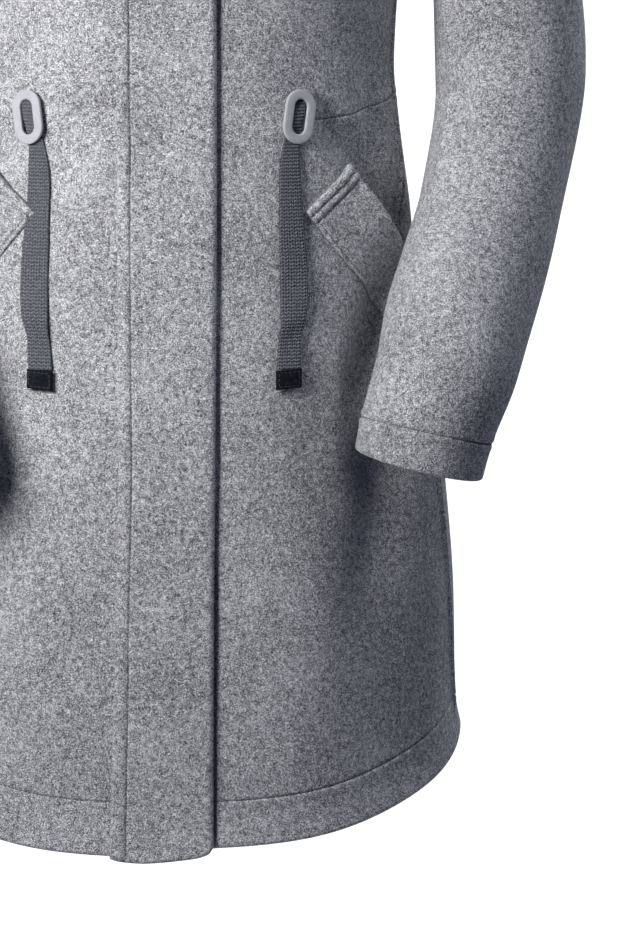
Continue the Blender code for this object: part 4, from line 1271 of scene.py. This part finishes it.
def stitch_run(line, normal, look):
    """Stitches along a line: at each pitch a small thread capsule, longer than wide, its ends dipping
    into the felt. Returns points and quads."""
    far = lengths(line[None], 1)[0]
    at = np.arange(look.pitch / 2, far[-1], look.pitch)

    def read(values, places):
        return np.stack([np.interp(places, far, values[:, k]) for k in range(3)], -1)

    upward = unit(read(normal, at))
    forward = unit(read(line, at + STITCH_STEP) - read(line, at - STITCH_STEP))
    sideways = np.cross(forward, upward)
    t = np.linspace(-1, 1, STITCH_RINGS)[:, None]
    turn = all_round(STITCH_SIDES)
    radius = np.sqrt(np.clip(1 - STITCH_POINTED * t ** 4, 0, 1)) * look.thread / 2
    x = t * look.stitch / 2 + 0 * turn
    y = radius * np.cos(turn)
    z = radius * np.sin(turn) - STITCH_DIP * look.thread * t ** 4
    points = read(line, at)[:, None]
    for local, way in ((x, forward), (y, sideways), (z, upward)):
        points = points + local.reshape(1, -1, 1) * way[:, None]
    index = np.arange(STITCH_RINGS * STITCH_SIDES).reshape(STITCH_RINGS, STITCH_SIDES)
    after = np.roll(index, -1, axis=1)
    quads = np.stack([index[:-1], after[:-1], after[1:], index[1:]], -1).reshape(-1, 4)
    every = np.concatenate([quads, STITCH_ENDS]) + index.size * np.arange(len(at))[:, None, None]
    return points.reshape(-1, 3), every.reshape(-1, 4)


def stitches(name, runs, look, finish):
    """One joined mesh of all stitches along several lines."""
    points, quads, count = [], [], 0
    for line, normal in runs:
        got, corners = stitch_run(line, normal, look)
        points.append(got)
        quads.append(corners + count)
        count += len(got)
    points = np.concatenate(points)
    made = add_piece(name, points, np.concatenate(quads), points[:, [0, 2]], finish)
    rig.slot(made, "felt")
    return made


def body_run(angle, height, sink):
    """A line on the body, sunk into its groove, and its normals."""
    normal = body_normal(angle, height)
    return body_point(angle, height) - normal * sink, normal


def body_runs(share, height, starts, back, sink):
    """Sewn lines round the body: on each front from its own start, by shares of the way to the side
    seam and heights there, and on the whole back."""
    angle = front_angle(share, height[-1])
    runs = []
    for (_label, side, _shift), start in zip(SIDES, starts):
        sewn = share > start
        runs.append(body_run(side * angle[sewn], height[sewn], sink))
    return [*runs, body_run(back_angle(BACK_SHARES, back[-1]), back, sink)]


def hem_runs(sink):
    """Stitches of the turned-up hem, which start beside the placket."""
    shift = side_shift(HEM_FRONT)
    height = hem_height(HEM_SHARES * (QUARTER - shift)) + HEM_DEPTH
    back = hem_height(BACK_SHARES * (QUARTER + shift)) + HEM_DEPTH
    return body_runs(HEM_SHARES, height, HEM_STARTS, back, sink)


def waist_runs(sink):
    """Stitches of the waist seam."""
    front = waist_height(WAIST_SHARES)
    back = waist_height(np.abs(BACK_SHARES))
    return body_runs(WAIST_SHARES, front, (0, 0), back, WAIST_GROOVE * sink)


def placket_runs(chart, sink):
    """Stitches along the placket's sewn edge."""
    share = (PLACKET_STITCH - PLACKET_ACROSS[0]) / (PLACKET_ACROSS[-1] - PLACKET_ACROSS[0])
    across, height = placket_place(np.array(share), PLACKET_SEWN_ROWS)
    return [chart.lay(across, height, SEAM_GAP + PLACKET_THICK - sink + PLACKET_THREAD_OUT)]


def welt_runs(chart, depth):
    """Stitches of the welts: two lines across the short end and one along the sewn edge."""
    runs = []
    thick = np.maximum(welt_thick(WELT_SEWN_ACROSS) - WELT_THREAD_SINK * depth, WELT_THINNEST)
    first = WELT_ROLLS[0].middle + WELT_ROLLS[0].half + WELT_ROLL_STITCH
    for _label, side, _shift in SIDES:
        for long in (first, WELT_END + WELT_END_STITCH):
            runs.append(chart.lay(*welt_place(side, long, WELT_SEWN_ACROSS), SEAM_GAP + thick))
        place = welt_place(side, WELT_SEWN_ALONG, WELT_STITCH / WELT_WIDE)
        runs.append(chart.lay(*place, SEAM_GAP + WELT_SEAM_THICK + WELT_THREAD_OUT))
    return runs


def cuff_runs(sink):
    """Stitches round both cuffs."""
    turn = np.linspace(0, 2 * np.pi, CUFF_POINTS)
    row = cuff_row(turn)
    normal = sleeve_normal(row, turn)
    line = sleeve_point(row, turn) - normal * CUFF_SINK * sink
    mirror = np.array((-1, 1, 1))
    return [(line, normal), (line * mirror, normal * mirror)]


def cord_line(shift, at):
    """Distance from centre front, height, lift, width and tilt along the webbing's middle line."""
    rows = np.arange(len(CORD))
    across, *others = (smooth(at, rows, column(CORD, name)) for name in CORD[0]._fields)
    return across + shift, *others


def webbing(chart, label, side, shift, look, finish):
    """Flat braid from behind the keeper to the tab: a ribbon whose face has columns of slanted
    stitches, alternately leaning left and right, each a rounded ridge."""
    at = np.linspace(0, len(CORD) - 1, BRAID_ROWS)[:, None]
    across, height, _lift, width, tilt = cord_line(shift, at)
    share = np.linspace(-0.5, 0.5, BRAID_POINTS * BRAID_COLUMNS + 1)
    lift = cord_line(shift, at + CORD_SKEW * share)[2] + tilt * share
    places, normal = chart.lay(side * (across + share * width), height, lift)
    middle = len(share) // 2
    down = lengths(places[None, :, middle], 1)[0][:, None]
    place = (share + 0.5) * BRAID_COLUMNS
    number = np.minimum(np.floor(place), BRAID_COLUMNS - 1)
    inside = place - number
    lean = np.where(number % 2 == 0, inside, 1 - inside)
    ridge = 0.5 + 0.5 * np.cos(2 * np.pi * (down / look.braid + BRAID_LEAN * lean))
    crown = ridge ** BRAID_ALONG * np.sin(np.pi * inside) ** BRAID_ACROSS
    rise = look.braid_rise * (crown - 0.5)
    edge = CORD_THICK * 0.5 * (1 - np.sqrt(np.clip(1 - (np.abs(share) * 2) ** CORD_SQUARE, 0, 1)))
    outer = places + normal * (CORD_THICK + rise - edge)[..., None]
    inner = places + normal * (edge - BRAID_BACK * rise)[..., None]
    uv = np.stack(np.broadcast_arrays((share + 0.5) * CORD_WIDTH, down), -1)
    made = wall(f"drawcord_{label}_webbing", outer, inner, uv, finish, side > 0)
    # the crowns' shape is stored on the points so that the finish can paint them lighter and the gaps darker, as
    # painted highlight and shade
    shade = made.data.attributes.new("crown", "FLOAT", "POINT")
    shade.data.foreach_set("value", np.concatenate([crown.ravel()] * 2).astype(np.float32))
    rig.replaces(made, "drawcord_" + label)
    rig.slot(made, "webbing")
    return made, (outer + inner)[::CORD_PATH_STEP, middle] / 2


def tab_piece(chart, label, side, shift, finish, thread, look):
    """Folded end tab: a rounded block on the webbing's end with a stitched border sunk into it."""
    across, height, lift = (place[0] for place in cord_line(shift, np.array([len(CORD) - 1.0]))[:3])
    middle = lift + CORD_THICK / 2

    def lay(wide, down, out):
        over = (wide - 0.5) * TAB_WIDE
        low = height - SEAM_GAP - down * TAB_LONG + TAB_LEAN * over
        return chart.lay(side * (across + over), low, middle + out)

    wide = framed(TAB_EDGE, TAB_INSIDE)
    down = wide[:, None]
    reach = np.minimum(np.minimum(down, 1 - down) * TAB_LONG, np.minimum(wide, 1 - wide) * TAB_WIDE)
    face = TAB_THICK / 2 - rounding(reach, TAB_ROUND)
    outer, _ = lay(wide, down, face - TAB_SUNK * bell((reach - TAB_INSET) / TAB_SUNK))
    inner, _ = lay(wide, down, -face)
    uv = np.stack(np.broadcast_arrays(wide * TAB_WIDE, down * TAB_LONG), -1)
    made = wall(f"cord_tab_{label}_leather", outer, inner, uv, finish, side > 0)
    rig.replaces(made, "cord_tab_" + label)
    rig.slot(made, "tab")
    inset = TAB_INSET / np.array((TAB_WIDE, TAB_LONG))
    corner = inset + (1 - 2 * inset) * np.array(((0, 0), (1, 0), (1, 1), (0, 1)))
    runs = []
    for first, second in zip(corner, np.roll(corner, -1, axis=0)):
        path = first + (second - first) * TAB_SEWN[:, None]
        runs.append(lay(path[:, 0], path[:, 1], TAB_THICK / 2 - TAB_THREAD_SINK))
    sewn = stitches(f"cord_tab_{label}_stitches", runs, look, thread)
    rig.slot(sewn, "tab")
    return made, sewn


def keeper_piece(chart, label, side, shift, finish):
    """Flat oval ring: a rounded band section carried round a stadium, leaning with its top outwards."""
    across = np.array([side * (KEEPER_ACROSS + shift)])
    (middle,), (outward,) = chart.lay(across, KEEPER_HEIGHT, KEEPER_LIFT)
    upward = unit(np.array([0.0, 0.0, 1.0]) - outward * outward[2])
    sideways = np.cross(upward, outward)
    lean = np.radians(KEEPER_LEAN) * side
    right = sideways * np.cos(lean) - upward * np.sin(lean)
    up = upward * np.cos(lean) + sideways * np.sin(lean)
    turn = all_round(KEEPER_TURNS)[:, None]
    straight = (KEEPER_LONG - KEEPER_WIDE) / 2 * np.sign(np.round(np.sin(turn), 6))
    section = all_round(KEEPER_SIDES)
    sides = np.abs(np.cos(section)) ** KEEPER_SQUARE + np.abs(np.sin(section)) ** KEEPER_SQUARE
    square = sides ** (-1 / KEEPER_SQUARE)
    band = np.cos(section) * square * KEEPER_BAND / 2
    rise = np.sin(section) * square * KEEPER_THICK / 2 + KEEPER_THICK / 2
    radius = (KEEPER_WIDE - KEEPER_BAND) / 2 + band
    x = (radius * np.cos(turn))[..., None]
    y = (radius * np.sin(turn) + straight)[..., None]
    points = (middle + x * right + y * up + rise[:, None] * outward).reshape(-1, 3)
    index = np.arange(len(points)).reshape(KEEPER_TURNS, KEEPER_SIDES)
    on = np.roll(index, -1, axis=0)
    over = np.roll(index, -1, axis=1)
    quads = np.stack([index, on, np.roll(on, -1, axis=1), over], -1).reshape(-1, 4)
    made = add_piece(f"cord_keeper_{label}_ring", points, quads, points[:, [0, 2]], finish)
    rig.replaces(made, "cord_keeper_" + label)
    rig.slot(made, "keeper")
    return made


class Wire:
    """A shader value that adds, subtracts and scales in Python expressions by adding Math nodes."""

    def __init__(self, tree, socket):
        self.tree = tree
        self.socket = socket

    def math(self, operation, second):
        """A Math node of this value and a second one, a number or another wire."""
        node = self.tree.nodes.new("ShaderNodeMath")
        node.operation = operation
        self.tree.links.new(self.socket, node.inputs[0])
        if isinstance(second, Wire):
            self.tree.links.new(second.socket, node.inputs[1])
        else:
            node.inputs[1].default_value = second
        return Wire(self.tree, node.outputs[0])

    def __add__(self, other):
        return self.math("ADD", other)

    def __sub__(self, other):
        return self.math("SUBTRACT", other)

    def __mul__(self, other):
        return self.math("MULTIPLY", other)

    __radd__ = __add__
    __rmul__ = __mul__


class Finish:
    """One material: its node tree and its Principled shader."""

    def __init__(self, name):
        self.material = bpy.data.materials.new(name)
        self.material.use_nodes = True
        self.tree = self.material.node_tree
        self.shader = self.tree.nodes["Principled BSDF"]

    def node(self, kind, settings, sockets, output=0):
        """A node of a type: its settings first, then the values or links of its sockets."""
        made = self.tree.nodes.new(kind)
        for name, value in settings.items():
            if name == "stops":
                ramp = made.color_ramp
                while len(ramp.elements) < len(value):
                    ramp.elements.new(0.5)
                for element, (place, shade) in zip(ramp.elements, value):
                    element.position = place
                    element.color = (*shade, 1.0)
            else:
                setattr(made, name, value)
        for name, value in sockets.items():
            if isinstance(value, Wire):
                self.tree.links.new(value.socket, made.inputs[name])
            else:
                made.inputs[name].default_value = value
        return Wire(self.tree, made.outputs[output])

    def place(self):
        """The object's own coordinates, in metres."""
        return self.node("ShaderNodeTexCoord", {}, {}, "Object")

    def noise(self, place, scale, detail):
        """Grey noise about one half, features about one over the scale across."""
        return self.node("ShaderNodeTexNoise", {"noise_dimensions": "3D"},
                         {"Vector": place, "Scale": scale, "Detail": detail, "Roughness": 0.5})

    def turned(self, place, degrees, stretch):
        """Coordinates turned about the three axes and stretched along one way."""
        return self.node("ShaderNodeMapping", {"vector_type": "TEXTURE"},
                         {"Vector": place, "Rotation": np.radians(degrees), "Scale": (stretch, 1.0, 1.0)})

    def link(self, name, value):
        """Feeds a varying value to one of the shader's sockets."""
        self.tree.links.new(value.socket, self.shader.inputs[name])

    def paint(self, tone, stops):
        """Colours the surface by a ramp over a varying tone: each stop a place on it and a colour."""
        self.link("Base Color", self.node("ShaderNodeValToRGB", {"stops": stops}, {"Fac": tone}))

    def fix(self, **values):
        """Sets constants on the shader's own sockets."""
        for name, value in values.items():
            self.shader.inputs[name.replace("_", " ")].default_value = value

    def bump(self, height, distance):
        """Relief of the surface from a varying height."""
        sockets = {"Height": height, "Distance": distance, "Strength": 1.0}
        self.link("Normal", self.node("ShaderNodeBump", {}, sockets))


def blend_colour(first, second, share):
    """Plain mix of two colours."""
    return tuple(a + (b - a) * share for a, b in zip(first, second))


def felt_finish(look):
    """Matt heathered wool: dark and light flecks, crossing fibres, weak clouds and a matted nap."""
    finish = Finish("heathered_felt")
    place = finish.place()
    flecks = finish.noise(place, 1.0 / look.fleck, 1.0)
    fibres = 0.0
    for degrees in FIBRE_TURNS:
        fibres = finish.noise(finish.turned(place, degrees, 3.0), 1.1 / look.fleck, 0.0) + fibres
    fibres = fibres * (1 / len(FIBRE_TURNS))
    clouds = finish.noise(place, 0.16 / look.fleck, 1.0)
    broad = finish.noise(place, 18.0, 2.0)
    tone = 0.5
    for part, share in ((flecks, 1.85), (fibres, 1.20), (clouds, 0.50), (broad, 0.20)):
        tone = tone + share * (part - 0.5)
    light, dark = tuple(look.light_fibre), tuple(look.dark_fibre)
    finish.paint(tone, [(at, blend_colour(dark, light, share)) for at, share in FELT_TONES])
    finish.link("Roughness", 0.86 + 0.12 * flecks)
    finish.bump(flecks * 0.6 + fibres * 0.9 + clouds * 0.5, look.nap)
    finish.fix(Specular_IOR_Level=0.18, Sheen_Weight=0.12, Sheen_Roughness=0.5)
    finish.fix(Sheen_Tint=(0.86, 0.88, 0.92, 1.0))
    return finish.material


def thread_finish(name, shade):
    """Spun sewing thread: a fine uneven ply."""
    finish = Finish(name)
    ply = finish.noise(finish.place(), 2600.0, 1.0)
    finish.paint(ply, ((0.3, blend_colour(shade, BLACK, 0.35)), (0.7, blend_colour(shade, WHITE, 0.08))))
    finish.bump(ply, 0.0001)
    finish.fix(Roughness=0.8, Specular_IOR_Level=0.25)
    return finish.material


def webbing_finish(look):
    """Braided yarn: fine filaments, slightly uneven dye, a painted highlight on the crowns of its stitches and painted
    shade in the gaps between them.
    """
    finish = Finish("braided_webbing")
    place = finish.node("ShaderNodeUVMap", {"uv_map": "cloth"}, {})
    filaments = finish.noise(place, 2400.0, 2.0)
    yarn = finish.noise(place, 520.0, 1.0)
    crown = finish.node("ShaderNodeAttribute", {"attribute_name": "crown"}, {}, "Fac")
    # painted highlight and shade: the stitches' crowns are painted lighter and the gaps between them darker
    tone = 0.36 + 0.5 * (filaments - 0.5) + 0.5 * (yarn - 0.5) + 0.40 * crown
    shade = tuple(look.webbing)
    finish.paint(tone, ((0.28, blend_colour(shade, (0.004, 0.005, 0.010), 0.62)), (0.55, shade),
                        (0.80, blend_colour(shade, (0.6, 0.61, 0.64), 0.30))))
    finish.link("Roughness", 0.62 + 0.25 * yarn)
    finish.bump(filaments, 0.00015)
    finish.fix(Specular_IOR_Level=0.2)
    return finish.material


def keeper_finish(look):
    """Matt moulded keeper: a fine grain and faint clouding."""
    finish = Finish("matt_keeper")
    place = finish.place()
    grain = finish.noise(place, 3600.0, 2.0)
    clouds = finish.noise(place, 160.0, 2.0)
    shade = tuple(look.keeper)
    tone = 0.5 + 0.35 * (grain - 0.5) + 0.5 * (clouds - 0.5)
    finish.paint(tone, ((0.3, blend_colour(shade, BLACK, 0.12)), (0.7, blend_colour(shade, WHITE, 0.08))))
    finish.link("Roughness", 0.52 + 0.16 * grain)
    finish.bump(grain, 0.00005)
    finish.fix(Specular_IOR_Level=0.35)
    return finish.material


def tab_finish(look):
    """Matt black grained tab."""
    finish = Finish("black_tab")
    place = finish.place()
    cells = {"Vector": place, "Scale": 1500.0}
    grain = finish.node("ShaderNodeTexVoronoi", {"feature": "DISTANCE_TO_EDGE"}, cells)
    clouds = finish.noise(place, 420.0, 2.0)
    shade = tuple(look.tab)
    finish.paint(clouds, ((0.3, shade), (0.75, blend_colour(shade, (0.05, 0.055, 0.075), 0.3))))
    finish.link("Roughness", 0.70 + 0.25 * clouds)
    finish.bump(grain, 0.00010)
    finish.fix(Specular_IOR_Level=0.06)
    return finish.material


def floor_finish(look):
    """Pale studio floor that fades out towards its rim."""
    finish = Finish("pale_floor")
    place = finish.place()
    far = finish.node("ShaderNodeVectorMath", {"operation": "LENGTH"}, {0: place}, "Value")
    pale = tuple(look.floor)
    finish.paint(finish.noise(place, 60.0, 3.0), ((0.3, blend_colour(pale, BLACK, 0.015)), (0.7, pale)))
    fade = {"Value": far, "From Min": FLOOR_GONE, "From Max": FLOOR_WHOLE}
    finish.link("Alpha", finish.node("ShaderNodeMapRange", {}, fade))
    finish.fix(Roughness=0.9, Specular_IOR_Level=0.1)
    return finish.material


def felt_of(scene):
    """The coat's felt, made the first time that it is asked for, and the depth of its sewn grooves."""
    felt = bpy.data.materials.get("heathered_felt") or felt_finish(scene.parka_felt)
    return felt, scene.parka_sewing.groove


def heading(bearing, climb):
    """Direction by degrees from straight ahead of the coat, the wearer's left positive, and degrees up."""
    bearing, climb = np.radians(bearing), np.radians(climb)
    return Vector((np.sin(bearing) * np.cos(climb), -np.cos(bearing) * np.cos(climb), np.sin(climb)))


def aimed(scene, data, place, gaze):
    """A camera or lamp at a place, looking along a direction."""
    made = bpy.data.objects.new(data.name, data)
    made.location = place
    made.rotation_mode = "QUATERNION"
    made.rotation_quaternion = gaze.to_track_quat("-Z", "Y")
    scene.collection.objects.link(made)
    return made


def studio_world(look):
    """Dim light from all round, and plain white where the camera looks past the coat."""
    world = bpy.data.worlds.new("studio")
    world.use_nodes = True
    tree = world.node_tree
    fill = tree.nodes["Background"]
    fill.inputs["Color"].default_value = (*look.fill, 1.0)
    white = tree.nodes.new("ShaderNodeBackground")
    white.inputs["Color"].default_value = (*WHITE, 1.0)
    white.inputs["Strength"].default_value = WHITE_STRENGTH
    seen = tree.nodes.new("ShaderNodeLightPath")
    either = tree.nodes.new("ShaderNodeMixShader")
    tree.links.new(seen.outputs["Is Camera Ray"], either.inputs["Fac"])
    tree.links.new(fill.outputs[0], either.inputs[1])
    tree.links.new(white.outputs[0], either.inputs[2])
    tree.links.new(either.outputs[0], tree.nodes["World Output"].inputs["Surface"])
    return world


class PARKA_OT_stage(bpy.types.Operator):
    """Camera at the photo's viewing angle, soft studio light, white surroundings and a pale floor"""
    bl_idname = "parka.stage"
    bl_label = "Stage"

    def execute(self, context):
        scene = context.scene
        look = scene.parka_stage
        camera = bpy.data.cameras.new("photo_camera")
        camera.lens = CAMERA_LENS
        camera.sensor_width = CAMERA_SENSOR
        camera.sensor_fit = "AUTO"
        camera.shift_y = CAMERA_SHIFT
        scene.camera = aimed(scene, camera, CAMERA_PLACE, -heading(-CAMERA_YAW, CAMERA_PITCH))
        for lamp in LAMPS:
            light = bpy.data.lights.new(lamp.name + "_light", "AREA")
            light.shape = "SQUARE"
            light.size = lamp.size
            light.energy = lamp.watts * look.light
            light.color = lamp.colour
            out = heading(lamp.bearing, lamp.climb)
            aimed(scene, light, Vector(LIGHT_AIM) + lamp.distance * out, -out).visible_camera = False
        scene.world = studio_world(look)
        scene.view_settings.view_transform = "Standard"
        turn = all_round(FLOOR_CORNERS)
        rim = [np.cos(turn) * FLOOR_RADIUS, np.sin(turn) * FLOOR_RADIUS, 0 * turn + FLOOR_HEIGHT]
        mesh = bpy.data.meshes.new("floor")
        mesh.from_pydata(np.stack(rim, -1).tolist(), [], [range(FLOOR_CORNERS)])
        mesh.materials.append(floor_finish(look))
        floor = bpy.data.objects.new("floor", mesh)
        scene.collection.objects.link(floor)
        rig.stage(floor)
        return {"FINISHED"}


class PARKA_OT_drawcords(bpy.types.Operator):
    """Braided webbing drawcords with their stitched end tabs"""
    bl_idname = "parka.drawcords"
    bl_label = "Drawcords"

    def execute(self, context):
        look = context.scene.parka_trim
        chart = FrontChart()
        braid = webbing_finish(look)
        black = tab_finish(look)
        thread = thread_finish("tab_thread", TAB_THREAD)
        for label, side, shift in SIDES:
            made, line = webbing(chart, label, side, shift, look, braid)
            tab, sewn = tab_piece(chart, label, side, shift, black, thread, context.scene.parka_sewing)
            length = lengths(line[None], 1)[0, -1]
            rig.cord(made, exit=line[0], length=length, diameter=CORD_WIDTH, far_end="fitting",
                    stiffness="limp", lay="hanging", path=line, with_pieces=[tab, sewn])
        return {"FINISHED"}


class PARKA_OT_keepers(bpy.types.Operator):
    """Flat oval keepers that the drawcords hang from"""
    bl_idname = "parka.keepers"
    bl_label = "Keepers"

    def execute(self, context):
        chart = FrontChart()
        finish = keeper_finish(context.scene.parka_trim)
        for label, side, shift in SIDES:
            keeper_piece(chart, label, side, shift, finish)
        return {"FINISHED"}


class PARKA_OT_body(bpy.types.Operator):
    """Two fronts and the back, with hem, waist and side seams"""
    bl_idname = "parka.body"
    bl_label = "Body panels"

    def execute(self, context):
        felt, depth = felt_of(context.scene)
        front_panel("left", 1, 0.0, felt, depth)
        front_panel("right", -1, RIGHT_DROP, felt, depth)
        back_panel(felt, depth)
        return {"FINISHED"}


class PARKA_OT_placket(bpy.types.Operator):
    """Doubled placket over the closing"""
    bl_idname = "parka.placket"
    bl_label = "Placket"

    def execute(self, context):
        placket_piece(FrontChart(), *felt_of(context.scene))
        return {"FINISHED"}


class PARKA_OT_welts(bpy.types.Operator):
    """Slanted pocket welts"""
    bl_idname = "parka.welts"
    bl_label = "Pocket welts"

    def execute(self, context):
        chart = FrontChart()
        for label, side, _shift in SIDES:
            welt_piece(chart, label, side, *felt_of(context.scene))
        return {"FINISHED"}


class PARKA_OT_sleeves(bpy.types.Operator):
    """Two-piece sleeves with turned-up cuffs"""
    bl_idname = "parka.sleeves"
    bl_label = "Sleeves"

    def execute(self, context):
        for label, side, _shift in SIDES:
            for under in (False, True):
                sleeve_piece(label, side, under, *felt_of(context.scene))
        return {"FINISHED"}


class PARKA_OT_hood(bpy.types.Operator):
    """Hood lying back, in two halves"""
    bl_idname = "parka.hood"
    bl_label = "Hood"

    def execute(self, context):
        for label, side, _shift in SIDES:
            hood_half(label, side, *felt_of(context.scene))
        return {"FINISHED"}


class PARKA_OT_stitches(bpy.types.Operator):
    """Stitches of the hem, placket, waist seam, welts and cuffs"""
    bl_idname = "parka.stitches"
    bl_label = "Stitches"

    def execute(self, context):
        look = context.scene.parka_sewing
        thread = thread_finish("felt_thread", tuple(look.thread_colour))
        sink = STITCH_SINK * look.groove
        chart = FrontChart()
        stitches("hem_stitches", hem_runs(sink), look, thread)
        stitches("placket_stitches", placket_runs(chart, sink), look, thread)
        stitches("waist_stitches", waist_runs(sink), look, thread)
        stitches("welt_stitches", welt_runs(chart, look.groove), look, thread)
        stitches("cuff_stitches", cuff_runs(sink), look, thread)
        return {"FINISHED"}


class PARKA_PT_panel(bpy.types.Panel):
    """Sizes, colours and steps of the parka"""
    bl_idname = "PARKA_PT_panel"
    bl_label = "Parka"
    bl_space_type = "VIEW_3D"
    bl_region_type = "UI"
    bl_category = "Parka"

    def draw(self, context):
        for name, kind in LOOKS.items():
            box = self.layout.box()
            for setting in kind.__annotations__:
                box.prop(getattr(context.scene, name), setting)
        for step in STEPS:
            self.layout.operator(step.bl_idname)


STEPS = (PARKA_OT_stage, PARKA_OT_drawcords, PARKA_OT_keepers, PARKA_OT_body, PARKA_OT_placket,
         PARKA_OT_welts, PARKA_OT_sleeves, PARKA_OT_hood, PARKA_OT_stitches)
LOOKS = {"parka_felt": FeltLook, "parka_sewing": SewingLook, "parka_trim": TrimLook,
         "parka_stage": StageLook}
CLASSES = (*LOOKS.values(), *STEPS, PARKA_PT_panel)


def register():
    """Adds the classes and the scene's groups of sizes and colours."""
    for made in CLASSES:
        bpy.utils.register_class(made)
    for name, kind in LOOKS.items():
        setattr(bpy.types.Scene, name, PointerProperty(type=kind))


def unregister():
    """Removes what register added."""
    for name in LOOKS:
        delattr(bpy.types.Scene, name)
    for made in reversed(CLASSES):
        bpy.utils.unregister_class(made)


def main():
    register()
    for step in (bpy.ops.parka.stage, bpy.ops.parka.drawcords, bpy.ops.parka.keepers, bpy.ops.parka.body,
                 bpy.ops.parka.placket, bpy.ops.parka.welts, bpy.ops.parka.sleeves, bpy.ops.parka.hood,
                 bpy.ops.parka.stitches):
        step()
    sizes = {"cad": CAD_BOX, "visual": [list(corner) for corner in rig.bounds()]}
    with open("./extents.json", "w") as kept_sizes:
        json.dump(sizes, kept_sizes)


if __name__ == "__main__":
    main()
